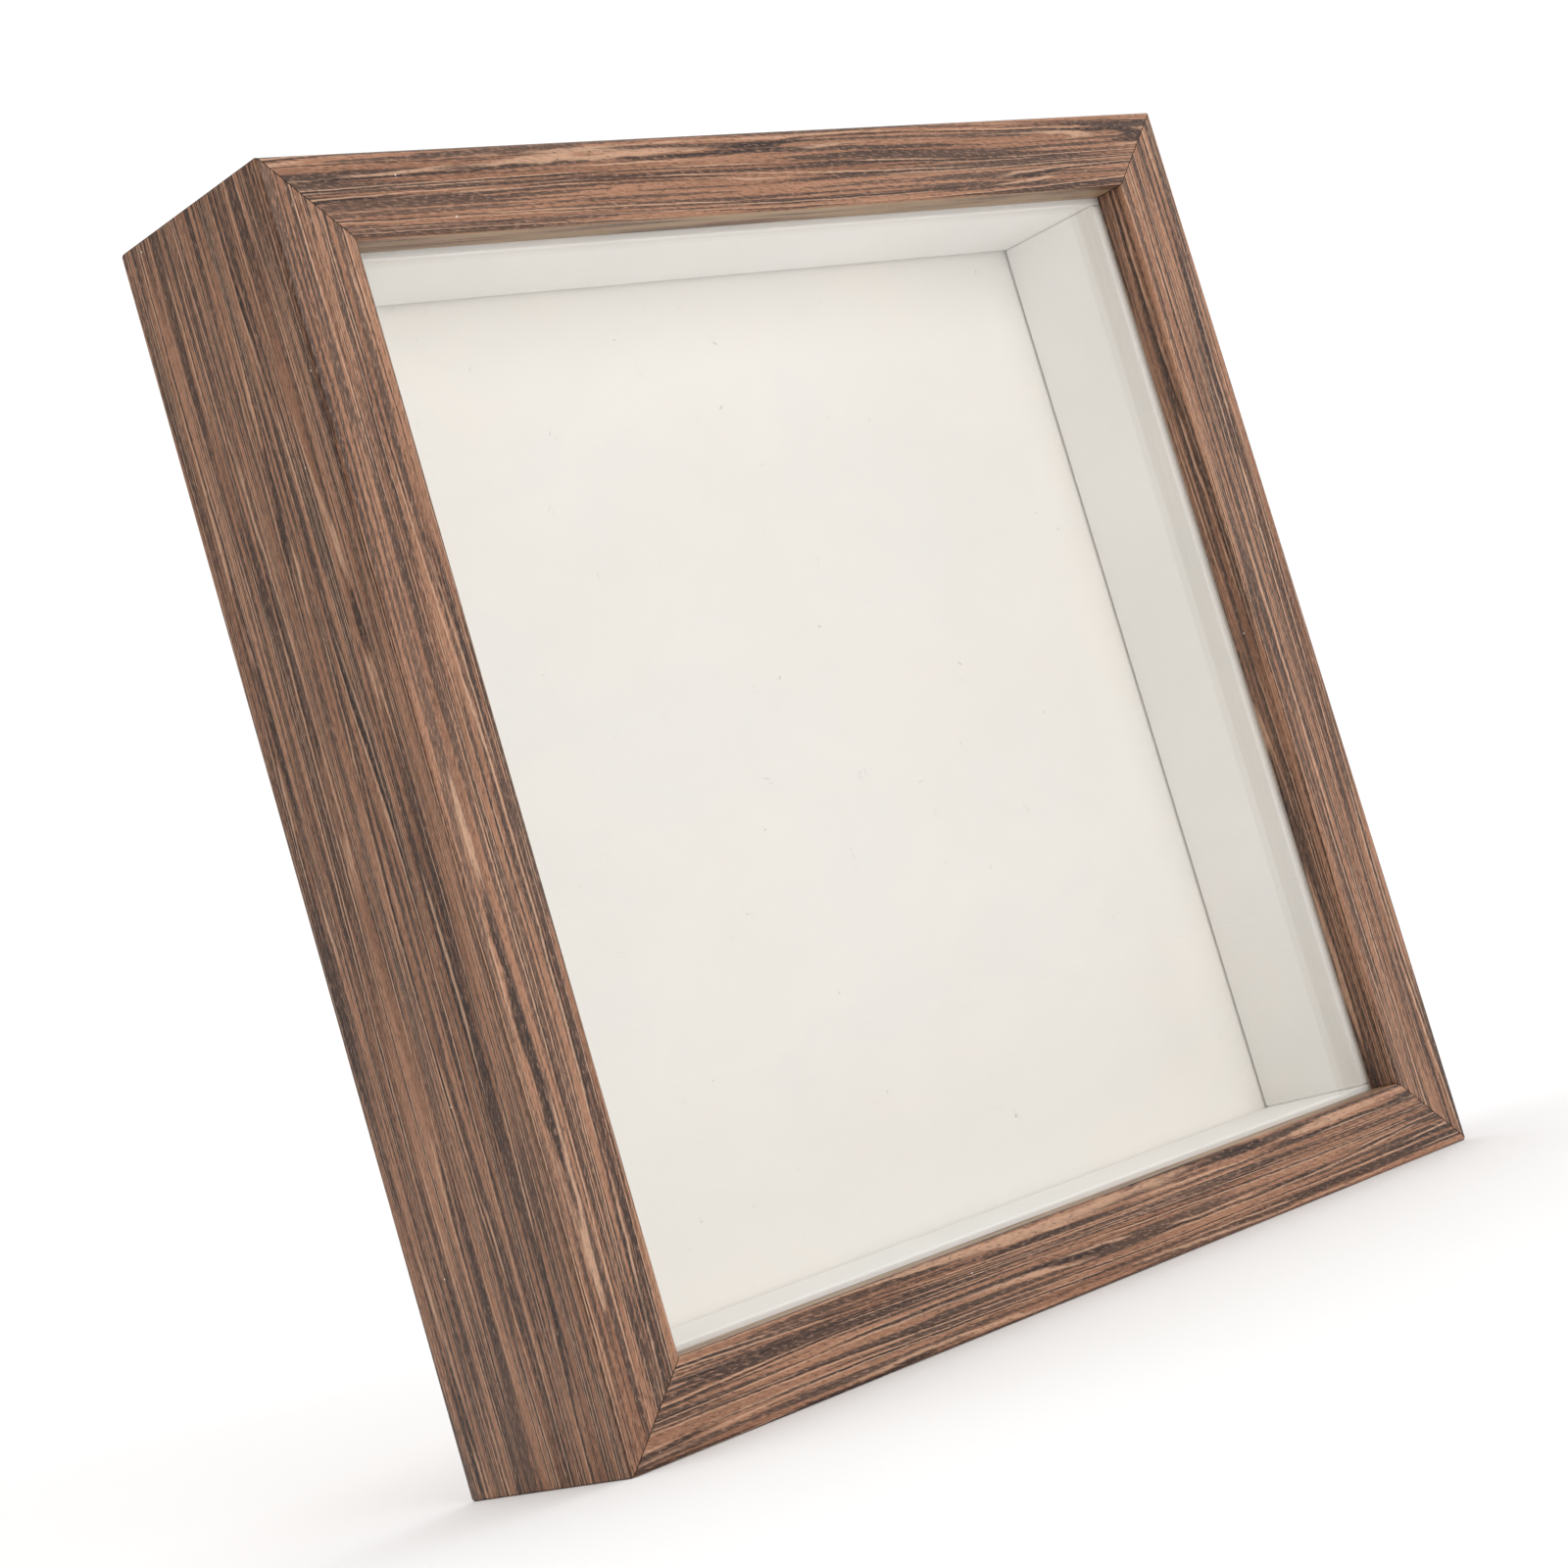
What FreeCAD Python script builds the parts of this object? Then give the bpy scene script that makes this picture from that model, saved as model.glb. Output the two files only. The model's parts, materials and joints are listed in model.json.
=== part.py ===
import FreeCAD, Part

import os

import Sketcher
from FreeCAD import Placement, Rotation, Vector

# Square shadow box that stands on its bottom rail, sizes in millimetres.
# +Z is up, the glazed front faces -Y and the origin is the centre of the underside.
# Every piece is drawn about the middle of the case and then lifted by half its height,
# so the four sides of the case are one drawing turned about the Y axis.

DRIVING_SIZES = {
    "outer_size": (230, "width and height of the square case"),
    "case_depth": (49, "front face to rear face of the rails"),
    "face_width": (16, "front face of a rail, outer edge to sight edge"),
    "lip_overhang": (4, "how far the front lip stands inwards of the rabbet wall"),
    "lip_thickness": (7.5, "front face to the back of the lip"),
    "outer_arris": (0.9, "rounding along the outer front edge"),
    "sight_arris": (0.8, "rounding along the sight edge"),
    "rear_arris": (1.8, "rounding along the outer rear edge"),
    "sheet_play": (0.5, "gap between each edge of a loose sheet and the rabbet wall"),
    "glazing_thickness": (2, "glass sheet"),
    "glazing_bevel": (0.3, "seamed edges of the glass"),
    "spacer_thickness": (5, "wall of the spacer strips"),
    "spacer_depth": (27.8, "spacer strip, front edge to rear edge"),
    "spacer_play": (0.2, "gap between a spacer strip and the rabbet wall"),
    "spacer_arris": (0.4, "rounding along the long inner edges of a spacer strip"),
    "board_gap": (0.5, "gap between the spacer strips and the display board"),
    "display_thickness": (5, "foam-cored display board"),
    "back_thickness": (6, "back board"),
    "notch_radius": (9, "finger notch in the lower edge of the back board"),
    "nail_reach": (5, "length of one leg of a corner V nail"),
    "nail_gauge": (0.4, "thickness of a corner V nail"),
    "nail_depth": (7, "height of a corner V nail"),
    "nail_sink": (0.2, "how far a V nail sits below the rear face"),
    "nail_outer_inset": (3.2, "outer V nail, corner of the case to its ridge along each side"),
    "nail_pitch": (4.2, "outer V nail to inner V nail along each side"),
    "button_spread": (60, "centre of a side to each turn button's screw"),
    "button_width": (8, "turn button, across"),
    "button_reach": (19, "turn button, screw centre to tip"),
    "button_gauge": (1.2, "turn button, sheet thickness"),
    "button_tip": (5, "length of the raised tip"),
    "button_lift": (1, "height of the raised tip"),
    "button_play": (0.15, "gap on each side of the button along its screw"),
    "screw_radius": (1.45, "screw shank"),
    "screw_fit": (0.05, "radial play of the button on its screw"),
    "screw_length": (9, "screw shank inside the rail"),
    "screw_head_radius": (2.9, "pan head"),
    "screw_head_height": (1.6, "pan head"),
    "hanger_length": (45, "sawtooth hanger, end to end"),
    "hanger_height": (9, "sawtooth hanger, across"),
    "hanger_gauge": (1, "sawtooth hanger, sheet thickness"),
    "hanger_rise": (1.5, "how far the toothed middle stands off the rail"),
    "hanger_foot": (8, "flat foot at each end of the hanger"),
    "hanger_ramp": (2, "sloped length between a foot and the raised middle"),
    "tooth_pitch": (2, "sawtooth hanger"),
    "tooth_depth": (1.5, "sawtooth hanger"),
    "tooth_span": (20, "first tooth to last tooth"),
    "tooth_count": (11, "teeth along the lower edge of the hanger"),
    "pin_radius": (0.8, "hanger nail, shank"),
    "pin_length": (9, "hanger nail, shank inside the rail"),
    "pin_head_radius": (2, "hanger nail, head"),
    "pin_head_height": (0.8, "hanger nail, head"),
    "pad_radius": (4, "rubber bumper"),
    "pad_height": (3, "rubber bumper"),
    "pad_arris": (1.2, "rounding of a bumper's rim"),
    "pad_spread": (94, "centre of the case to each bumper"),
}

# Places that several pieces share, as sheet expressions.
MIDDLE = "(sizes.outer_size / 2)"
FRONT = "(-sizes.case_depth / 2)"
REAR = "(sizes.case_depth / 2)"
WALL = "(sizes.face_width - sizes.lip_overhang)"
WALL_CENTRE = f"(-{MIDDLE} + {WALL} / 2)"
RABBET_HALF = f"({MIDDLE} - {WALL})"
SHEET_HALF = f"({RABBET_HALF} - sizes.sheet_play)"
GLAZING_FRONT = f"({FRONT} + sizes.lip_thickness)"
SPACER_FRONT = f"({GLAZING_FRONT} + sizes.glazing_thickness)"
DISPLAY_FRONT = f"({SPACER_FRONT} + sizes.spacer_depth + sizes.board_gap)"
BACK_FRONT = f"({DISPLAY_FRONT} + sizes.display_thickness)"
PIN_SPREAD = "((sizes.hanger_length - sizes.hanger_foot) / 2)"

# Turn about Y that carries the bottom side of the case to each of the four sides.
SIDE_TURNS = {"bottom": 0, "left": 90, "top": 180, "right": 270}

doc = FreeCAD.newDocument("shadow_box")
sizes = doc.addObject("Spreadsheet::Sheet", "sizes")
sub_parts = []


def fill_sheet():
    """Write each driving size as a note, a plain number and its alias."""
    for row, (alias, (number, note)) in enumerate(DRIVING_SIZES.items(), start=1):
        sizes.set(f"A{row}", note)
        sizes.set(f"B{row}", str(number))
        sizes.setAlias(f"B{row}", alias)
    doc.recompute()


def value(expression):
    """Number that a sheet expression gives now, for the first guess of a drawing."""
    return float(sizes.evalExpression(expression))


def new_body(node):
    """Body of one sub-part, lifted so that the case stands on the origin."""
    body = doc.addObject("PartDesign::Body", node)
    body.Label = node
    body.setExpression("Placement.Base.z", MIDDLE)
    sub_parts.append(body)
    return body


def new_sketch(body, plane, label, along="0", across="0"):
    """Sketch on an origin plane, moved by along (its normal) and across (its X)."""
    sketch = body.newObject("Sketcher::SketchObject", f"{body.Name}_{label}")
    planes = [item for item in body.Origin.OriginFeatures if item.Role == plane]
    sketch.AttachmentSupport = [(planes[0], "")]
    sketch.MapMode = "FlatFace"
    sketch.setExpression("AttachmentOffset.Base.z", along)
    sketch.setExpression("AttachmentOffset.Base.x", across)
    return sketch


def bind(sketch, name, constraint, expression):
    """Add a dimension that follows the sheet."""
    index = sketch.addConstraint(constraint)
    sketch.renameConstraint(index, name)
    sketch.setExpression(f"Constraints.{name}", expression)


def draw_outline(sketch, corners):
    """Closed outline of straight lines; a corner is a pair of sheet expressions."""
    first = sketch.GeometryCount
    points = [Vector(value(across), value(up), 0) for across, up in corners]
    for start, end in zip(points, points[1:] + points[:1]):
        sketch.addGeometry(Part.LineSegment(start, end), False)
    for step, (across, up) in enumerate(corners):
        line = first + step
        following = first + (step + 1) % len(corners)
        sketch.addConstraint(Sketcher.Constraint("Coincident", line, 2, following, 1))
        level = Sketcher.Constraint("DistanceX", -1, 1, line, 1, points[step].x)
        bind(sketch, f"across_{line}", level, across)
        height = Sketcher.Constraint("DistanceY", -1, 1, line, 1, points[step].y)
        bind(sketch, f"up_{line}", height, up)


def draw_circle(sketch, across, up, radius):
    """Circle whose centre and radius are sheet expressions."""
    centre = Vector(value(across), value(up), 0)
    circle = sketch.GeometryCount
    sketch.addGeometry(Part.Circle(centre, Vector(0, 0, 1), value(radius)), False)
    level = Sketcher.Constraint("DistanceX", -1, 1, circle, 3, centre.x)
    bind(sketch, f"across_{circle}", level, across)
    height = Sketcher.Constraint("DistanceY", -1, 1, circle, 3, centre.y)
    bind(sketch, f"up_{circle}", height, up)
    size = Sketcher.Constraint("Radius", circle, value(radius))
    bind(sketch, f"radius_{circle}", size, radius)


def rectangle(half_across, low, high):
    """Corners of a rectangle that is symmetrical about the vertical axis."""
    return [
        (f"-{half_across}", low),
        (half_across, low),
        (half_across, high),
        (f"-{half_across}", high),
    ]


def pad(body, label, sketch, length, symmetric=False):
    """Pad along the sketch's normal, or half each way."""
    feature = body.newObject("PartDesign::Pad", f"{body.Name}_{label}")
    feature.Profile = sketch
    feature.SideType = "Symmetric" if symmetric else "One side"
    feature.setExpression("Length", length)
    doc.recompute()
    return feature


def pocket(body, label, sketch, length, symmetric=False, reverse=False):
    """Pocket against the sketch's normal, with it when reversed, or half each way."""
    before = body.Tip.Shape.Volume
    feature = body.newObject("PartDesign::Pocket", f"{body.Name}_{label}")
    feature.Profile = sketch
    feature.SideType = "Symmetric" if symmetric else "One side"
    feature.Reversed = reverse
    feature.setExpression("Length", length)
    doc.recompute()
    if feature.Shape.Volume >= before:
        raise RuntimeError(f"{feature.Name} cuts nothing")
    return feature


def round_edges(body, label, middles, radius):
    """Fillet the edges of the tip whose middles are at the given points."""
    base = body.Tip
    names = []
    for number, edge in enumerate(base.Shape.Edges, start=1):
        if any((edge.CenterOfMass - middle).Length < 1e-5 for middle in middles):
            names.append(f"Edge{number}")
    if len(names) != len(middles):
        raise RuntimeError(f"{body.Name} {label}: {len(names)} of {len(middles)} edges")
    feature = body.newObject("PartDesign::Fillet", f"{body.Name}_{label}")
    feature.Base = (base, names)
    feature.setExpression("Radius", radius)
    doc.recompute()
    return feature


def revolve(body, label, sketch):
    """Full turn about the sketch's own vertical axis."""
    feature = body.newObject("PartDesign::Revolution", f"{body.Name}_{label}")
    feature.Profile = sketch
    feature.ReferenceAxis = (sketch, ["V_Axis"])
    doc.recompute()
    return feature


def repeat_on_sides(body, originals):
    """Copy features of the bottom side to all four sides of the case."""
    axes = [item for item in body.Origin.OriginFeatures if item.Role == "Y_Axis"]
    pattern = body.newObject("PartDesign::PolarPattern", f"{body.Name}_sides")
    pattern.Originals = originals
    pattern.Axis = (axes[0], [""])
    pattern.Angle = 360
    pattern.Occurrences = len(SIDE_TURNS)
    body.Tip = pattern
    doc.recompute()


def turn_to_side(body, side):
    """Carry a body drawn for the bottom side to another side of the case."""
    body.Placement.Rotation = Rotation(Vector(0, 1, 0), SIDE_TURNS[side])


def nail_outline(inset, end):
    """Right-angled V nail on the mitre line; end is 1 for +X and -1 for -X."""
    ridge = f"({MIDDLE} - {inset})"
    inner = f"({ridge} - sizes.nail_gauge)"
    tip = f"({ridge} - sizes.nail_reach)"
    sign = "" if end > 0 else "-"
    return [
        (f"{sign}{ridge}", f"-{ridge}"),
        (f"{sign}{ridge}", f"-{tip}"),
        (f"{sign}{inner}", f"-{tip}"),
        (f"{sign}{inner}", f"-{inner}"),
        (f"{sign}{tip}", f"-{inner}"),
        (f"{sign}{tip}", f"-{ridge}"),
    ]


def nail_insets():
    """Insets of the two V nails at a corner."""
    return ["sizes.nail_outer_inset", "(sizes.nail_outer_inset + sizes.nail_pitch)"]


def make_rail(side):
    """L-shaped moulding with mitred ends, slots for V nails and pilot holes."""
    body = new_body(f"frame_rail_{side}")
    profile = new_sketch(body, "YZ_Plane", "profile")
    draw_outline(profile, [
        (FRONT, f"-{MIDDLE}"),
        (REAR, f"-{MIDDLE}"),
        (REAR, f"-{RABBET_HALF}"),
        (GLAZING_FRONT, f"-{RABBET_HALF}"),
        (GLAZING_FRONT, f"-{MIDDLE} + sizes.face_width"),
        (FRONT, f"-{MIDDLE} + sizes.face_width"),
    ])
    pad(body, "moulding", profile, "sizes.outer_size", symmetric=True)

    outer = value(f"-{MIDDLE}")
    sight = value(f"-{MIDDLE} + sizes.face_width")
    round_edges(body, "front_edge", [Vector(0, value(FRONT), outer)], "sizes.outer_arris")
    round_edges(body, "rear_edge", [Vector(0, value(REAR), outer)], "sizes.rear_arris")
    round_edges(body, "sight_edge", [Vector(0, value(FRONT), sight)], "sizes.sight_arris")

    mitre = new_sketch(body, "XZ_Plane", "mitre_lines")
    for sign in ("", "-"):
        draw_outline(mitre, [
            (f"{sign}{MIDDLE}", f"-{MIDDLE}"),
            (f"{sign}({MIDDLE} - sizes.face_width)", f"-{MIDDLE} + sizes.face_width"),
            (f"{sign}{MIDDLE}", f"-{MIDDLE} + sizes.face_width"),
        ])
    pocket(body, "mitres", mitre, "sizes.case_depth * 2", symmetric=True)

    slots = new_sketch(body, "XZ_Plane", "nail_lines", along=f"-{REAR}")
    for inset in nail_insets():
        for end in (1, -1):
            draw_outline(slots, nail_outline(inset, end))
    slot_depth = "sizes.nail_depth + sizes.nail_sink"
    pocket(body, "nail_slots", slots, slot_depth, reverse=True)

    holes = new_sketch(body, "XZ_Plane", "screw_centres", along=f"-{REAR}")
    for sign in ("", "-"):
        draw_circle(holes, f"{sign}sizes.button_spread", WALL_CENTRE, "sizes.screw_radius")
    pocket(body, "screw_holes", holes, "sizes.screw_length", reverse=True)

    if side == "top":
        pins = new_sketch(body, "XZ_Plane", "pin_centres", along=f"-{REAR}")
        for sign in ("", "-"):
            draw_circle(pins, f"{sign}{PIN_SPREAD}", WALL_CENTRE, "sizes.pin_radius")
        pocket(body, "pin_holes", pins, "sizes.pin_length", reverse=True)
    turn_to_side(body, side)


def make_corner_nails():
    """Two V nails across each mitre, driven in from the rear face."""
    body = new_body("corner_v_nails")
    sunk = f"-({REAR} - sizes.nail_sink)"
    ridges = new_sketch(body, "XZ_Plane", "ridges", along=sunk)
    for inset in nail_insets():
        draw_outline(ridges, nail_outline(inset, 1))
    corner = pad(body, "corner", ridges, "sizes.nail_depth")
    repeat_on_sides(body, [corner])


def make_sheet(node, front, thickness):
    """Square sheet that drops into the rabbet; front is its front face."""
    body = new_body(node)
    outline = new_sketch(body, "XZ_Plane", "outline", along=f"-({front} + {thickness})")
    draw_outline(outline, rectangle(SHEET_HALF, f"-{SHEET_HALF}", SHEET_HALF))
    pad(body, "sheet", outline, thickness)
    return body


def make_glazing():
    """Glass sheet with its front and rear edges seamed."""
    body = make_sheet("glazing_sheet", GLAZING_FRONT, "sizes.glazing_thickness")
    sheet = body.Tip
    levels = (value(GLAZING_FRONT), value(SPACER_FRONT))
    names = []
    for number, edge in enumerate(sheet.Shape.Edges, start=1):
        if any(abs(edge.CenterOfMass.y - level) < 1e-5 for level in levels):
            names.append(f"Edge{number}")
    bevel = body.newObject("PartDesign::Chamfer", "glazing_sheet_seamed_edges")
    bevel.Base = (sheet, names)
    bevel.setExpression("Size", "sizes.glazing_bevel")
    doc.recompute()


def make_spacer(side):
    """Strip that holds the glazing forward; the side strips fit between the others."""
    body = new_body(f"spacer_{side}")
    outer = f"({RABBET_HALF} - sizes.spacer_play)"
    inner = f"({outer} - sizes.spacer_thickness)"
    half_length = outer if side in ("top", "bottom") else inner
    rear = f"-({SPACER_FRONT} + sizes.spacer_depth)"
    outline = new_sketch(body, "XZ_Plane", "outline", along=rear)
    draw_outline(outline, rectangle(half_length, f"-{outer}", f"-{inner}"))
    pad(body, "strip", outline, "sizes.spacer_depth")
    inner_edges = [
        Vector(0, value(SPACER_FRONT), -value(inner)),
        Vector(0, value(f"{SPACER_FRONT} + sizes.spacer_depth"), -value(inner)),
    ]
    round_edges(body, "inner_edges", inner_edges, "sizes.spacer_arris")
    turn_to_side(body, side)


def make_back_board():
    """Back board with a finger notch in the middle of its lower edge."""
    body = make_sheet("back_board", BACK_FRONT, "sizes.back_thickness")
    notch = new_sketch(body, "XZ_Plane", "notch_outline")
    draw_circle(notch, "0", f"-{SHEET_HALF}", "sizes.notch_radius")
    pocket(body, "finger_notch", notch, "sizes.case_depth * 2", symmetric=True)


def make_turn_button(side, hand):
    """Flat button on the rear of a rail; at rest it lies along the rail, tip outwards.

    Drawn with its screw centre on the origin, its length along +X and its
    thickness along +Y. hand is 1 for the screw nearer +X before the side is turned.
    """
    place = "a" if hand > 0 else "b"
    body = doc.addObject("PartDesign::Body", f"turn_button_{side}_{place}")
    body.Label = body.Name
    sub_parts.append(body)

    bend = "(sizes.button_reach - sizes.button_tip)"
    lifted = "(sizes.button_gauge + sizes.button_lift)"
    end = "(sizes.button_width / 2)"
    strip = new_sketch(body, "XY_Plane", "side_view")
    draw_outline(strip, [
        (f"-{end}", "0"),
        (bend, "0"),
        ("sizes.button_reach", "sizes.button_lift"),
        ("sizes.button_reach", lifted),
        (bend, "sizes.button_gauge"),
        (f"-{end}", "sizes.button_gauge"),
    ])
    pad(body, "strip", strip, "sizes.button_width", symmetric=True)

    half = value(end)
    heel = [Vector(-half, value("sizes.button_gauge / 2"), z) for z in (half, -half)]
    round_edges(body, "heel", heel, f"{end} - 0.1")
    tip_middle = value("sizes.button_lift + sizes.button_gauge / 2")
    tip = [Vector(value("sizes.button_reach"), tip_middle, z) for z in (half, -half)]
    round_edges(body, "tip", tip, f"{end} - 1")

    hole = new_sketch(body, "XZ_Plane", "hole_centre")
    draw_circle(hole, "0", "0", "sizes.screw_radius + sizes.screw_fit")
    pocket(body, "screw_hole", hole, "sizes.button_gauge * 4", symmetric=True)

    side_turn = Rotation(Vector(0, 1, 0), SIDE_TURNS[side])
    own_turn = Rotation(Vector(0, 1, 0), 0 if hand > 0 else 180)
    spread = value("sizes.button_spread") * hand
    centre = Vector(spread, value(f"{REAR} + sizes.button_play"), value(WALL_CENTRE))
    lift = Vector(0, 0, value(MIDDLE))
    body.Placement = Placement(side_turn.multVec(centre) + lift, side_turn * own_turn)


def headed_outline(shank, length, head_base, head, height, point):
    """Half section of a headed fastener on its own axis, with a pointed end."""
    return [
        ("0", f"{REAR} - {length}"),
        (shank, f"{REAR} - {length} + {point}"),
        (shank, head_base),
        (head, head_base),
        (head, f"{head_base} + {height} * 0.5"),
        (f"{head} * 0.7", f"{head_base} + {height}"),
        ("0", f"{head_base} + {height}"),
    ]


def make_button_screws():
    """Pan-head screws that the turn buttons swing on, two on each side."""
    body = new_body("turn_button_screws")
    head_base = f"({REAR} + sizes.button_gauge + 2 * sizes.button_play)"
    screws = []
    for name, spread in (("a", "sizes.button_spread"), ("b", "-sizes.button_spread")):
        section = new_sketch(
            body, "XY_Plane", f"section_{name}", along=WALL_CENTRE, across=spread)
        draw_outline(section, headed_outline(
            "sizes.screw_radius", "sizes.screw_length", head_base,
            "sizes.screw_head_radius", "sizes.screw_head_height", "2"))
        screws.append(revolve(body, f"screw_{name}", section))
    repeat_on_sides(body, screws)


def make_hanger():
    """Sawtooth strip on the middle of the top rail, teeth down."""
    body = doc.addObject("PartDesign::Body", "sawtooth_hanger")
    body.Label = body.Name
    sub_parts.append(body)
    end = "(sizes.hanger_length / 2)"
    foot = f"({end} - sizes.hanger_foot)"
    bridge = f"({foot} - sizes.hanger_ramp)"
    upper = "(sizes.hanger_gauge + sizes.hanger_rise)"
    strip = new_sketch(body, "XY_Plane", "top_view")
    draw_outline(strip, [
        (f"-{end}", "0"),
        (f"-{foot}", "0"),
        (f"-{bridge}", "sizes.hanger_rise"),
        (bridge, "sizes.hanger_rise"),
        (foot, "0"),
        (end, "0"),
        (end, "sizes.hanger_gauge"),
        (foot, "sizes.hanger_gauge"),
        (bridge, upper),
        (f"-{bridge}", upper),
        (f"-{foot}", "sizes.hanger_gauge"),
        (f"-{end}", "sizes.hanger_gauge"),
    ])
    pad(body, "strip", strip, "sizes.hanger_height", symmetric=True)

    holes = new_sketch(body, "XZ_Plane", "pin_centres")
    for sign in ("", "-"):
        draw_circle(holes, f"{sign}{PIN_SPREAD}", "0", "sizes.pin_radius")
    pocket(body, "pin_holes", holes, "sizes.hanger_gauge * 4", symmetric=True)

    first = "(-sizes.tooth_span / 2)"
    edge = "(-sizes.hanger_height / 2)"
    tooth = new_sketch(body, "XZ_Plane", "tooth_gap")
    draw_outline(tooth, [
        (f"{first} - sizes.tooth_pitch / 2", edge),
        (f"{first} + sizes.tooth_pitch / 2", edge),
        (first, f"{edge} + sizes.tooth_depth"),
    ])
    gap = pocket(body, "tooth", tooth, "sizes.hanger_height * 2", symmetric=True)
    axes = [item for item in body.Origin.OriginFeatures if item.Role == "X_Axis"]
    teeth = body.newObject("PartDesign::LinearPattern", "sawtooth_hanger_teeth")
    teeth.Originals = [gap]
    teeth.Direction = (axes[0], [""])
    teeth.setExpression("Length", "sizes.tooth_span")
    teeth.setExpression("Occurrences", "sizes.tooth_count")
    body.Tip = teeth
    doc.recompute()

    body.setExpression("Placement.Base.y", REAR)
    body.setExpression("Placement.Base.z", f"{MIDDLE} - {WALL_CENTRE}")


def make_hanger_nails():
    """Two round-head nails through the feet of the sawtooth hanger."""
    body = new_body("hanger_nails")
    head_base = f"({REAR} + sizes.hanger_gauge)"
    for name, spread in (("a", PIN_SPREAD), ("b", f"-{PIN_SPREAD}")):
        section = new_sketch(
            body, "XY_Plane", f"section_{name}", along=f"-{WALL_CENTRE}", across=spread)
        draw_outline(section, headed_outline(
            "sizes.pin_radius", "sizes.pin_length", head_base,
            "sizes.pin_head_radius", "sizes.pin_head_height", "1.5"))
        revolve(body, f"nail_{name}", section)


def make_bumper_pads():
    """Two rubber pads at the foot of the rear that keep the case upright on a wall."""
    body = new_body("bumper_pads")
    discs = new_sketch(body, "XZ_Plane", "discs", along=f"-({REAR} + sizes.pad_height)")
    for sign in ("", "-"):
        draw_circle(discs, f"{sign}sizes.pad_spread", WALL_CENTRE, "sizes.pad_radius")
    pads = pad(body, "discs_pad", discs, "sizes.pad_height")
    level = value(f"{REAR} + sizes.pad_height")
    rims = []
    for number, edge in enumerate(pads.Shape.Edges, start=1):
        if abs(edge.CenterOfMass.y - level) < 1e-5 and edge.Closed:
            rims.append(f"Edge{number}")
    rounding = body.newObject("PartDesign::Fillet", "bumper_pads_rims")
    rounding.Base = (pads, rims)
    rounding.setExpression("Radius", "sizes.pad_arris")
    doc.recompute()


def check_document():
    """Stop if anything failed to recompute or a sub-part has no valid shape."""
    for item in doc.Objects:
        if "Invalid" in item.State or "Error" in item.State:
            raise RuntimeError(f"{item.Name} is {item.State}")
    for body in sub_parts:
        if body.Shape.isNull() or not body.Shape.isValid():
            raise RuntimeError(f"{body.Label} has no valid shape")


def export_parts():
    """Write each sub-part to its own STEP file."""
    os.makedirs("parts", exist_ok=True)
    for body in sub_parts:
        body.Shape.exportStep(f"parts/{body.Label}.step")
        solids = len(body.Shape.Solids)
        print(f"{body.Label}: {solids} solid(s), {body.Shape.Volume:.1f} mm3")


fill_sheet()
for side_name in SIDE_TURNS:
    make_rail(side_name)
make_corner_nails()
make_glazing()
for side_name in SIDE_TURNS:
    make_spacer(side_name)
make_sheet("display_board", DISPLAY_FRONT, "sizes.display_thickness")
make_back_board()
for side_name in SIDE_TURNS:
    for hand_sign in (1, -1):
        make_turn_button(side_name, hand_sign)
make_button_screws()
make_hanger()
make_hanger_nails()
make_bumper_pads()
doc.recompute()
check_document()
export_parts()
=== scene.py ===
"""Looks of the square shadow box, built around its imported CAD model.

Everything is in the row frame, in metres: the glazed front faces -Y, +Z is up and the origin is the
centre of the underside.
"""

import json
import math
import random

import bmesh
import bpy
from mathutils import Matrix, Vector


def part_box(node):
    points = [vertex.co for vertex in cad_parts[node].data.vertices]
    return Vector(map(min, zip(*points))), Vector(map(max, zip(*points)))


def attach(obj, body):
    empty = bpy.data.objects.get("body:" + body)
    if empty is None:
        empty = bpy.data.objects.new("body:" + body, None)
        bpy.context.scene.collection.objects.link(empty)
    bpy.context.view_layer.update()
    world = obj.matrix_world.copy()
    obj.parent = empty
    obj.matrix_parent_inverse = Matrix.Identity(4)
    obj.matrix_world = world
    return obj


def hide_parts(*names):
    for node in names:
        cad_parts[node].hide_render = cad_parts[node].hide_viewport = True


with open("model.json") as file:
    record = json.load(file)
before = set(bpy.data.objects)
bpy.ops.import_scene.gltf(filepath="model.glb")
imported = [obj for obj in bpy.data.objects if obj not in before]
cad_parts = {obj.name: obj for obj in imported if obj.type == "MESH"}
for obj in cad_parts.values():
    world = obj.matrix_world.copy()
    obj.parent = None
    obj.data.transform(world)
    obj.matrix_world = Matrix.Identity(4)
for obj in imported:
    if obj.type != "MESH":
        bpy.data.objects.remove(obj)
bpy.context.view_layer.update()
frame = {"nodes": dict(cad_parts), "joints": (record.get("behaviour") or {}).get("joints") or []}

MM = 0.001

# ---------------------------------------------------------------- places, from the CAD

CASE_LOW, CASE_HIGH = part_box("frame_rail_left")[0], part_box("frame_rail_right")[1]
HALF = CASE_HIGH.x
FRONT, REAR = CASE_LOW.y, CASE_HIGH.y
CENTRE = Vector((0, 0, CASE_HIGH.z / 2))
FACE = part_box("frame_rail_bottom")[1].z
LIP_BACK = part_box("glazing_sheet")[0].y
WALL = max(
    corner.co.z
    for corner in frame["nodes"]["frame_rail_bottom"].data.vertices
    if corner.co.y > REAR - 0.01 * MM
)

# Turn of each side's rail and spacer from the bottom one, about +Y through the centre.
SIDE_TURNS = {"bottom": 0, "left": 90, "top": 180, "right": 270}

# Roundings of the rails, as in the CAD.
OUTER_ARRIS = 0.9 * MM
SIGHT_ARRIS = 0.8 * MM
REAR_ARRIS = 1.8 * MM

random.seed(11)


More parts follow.
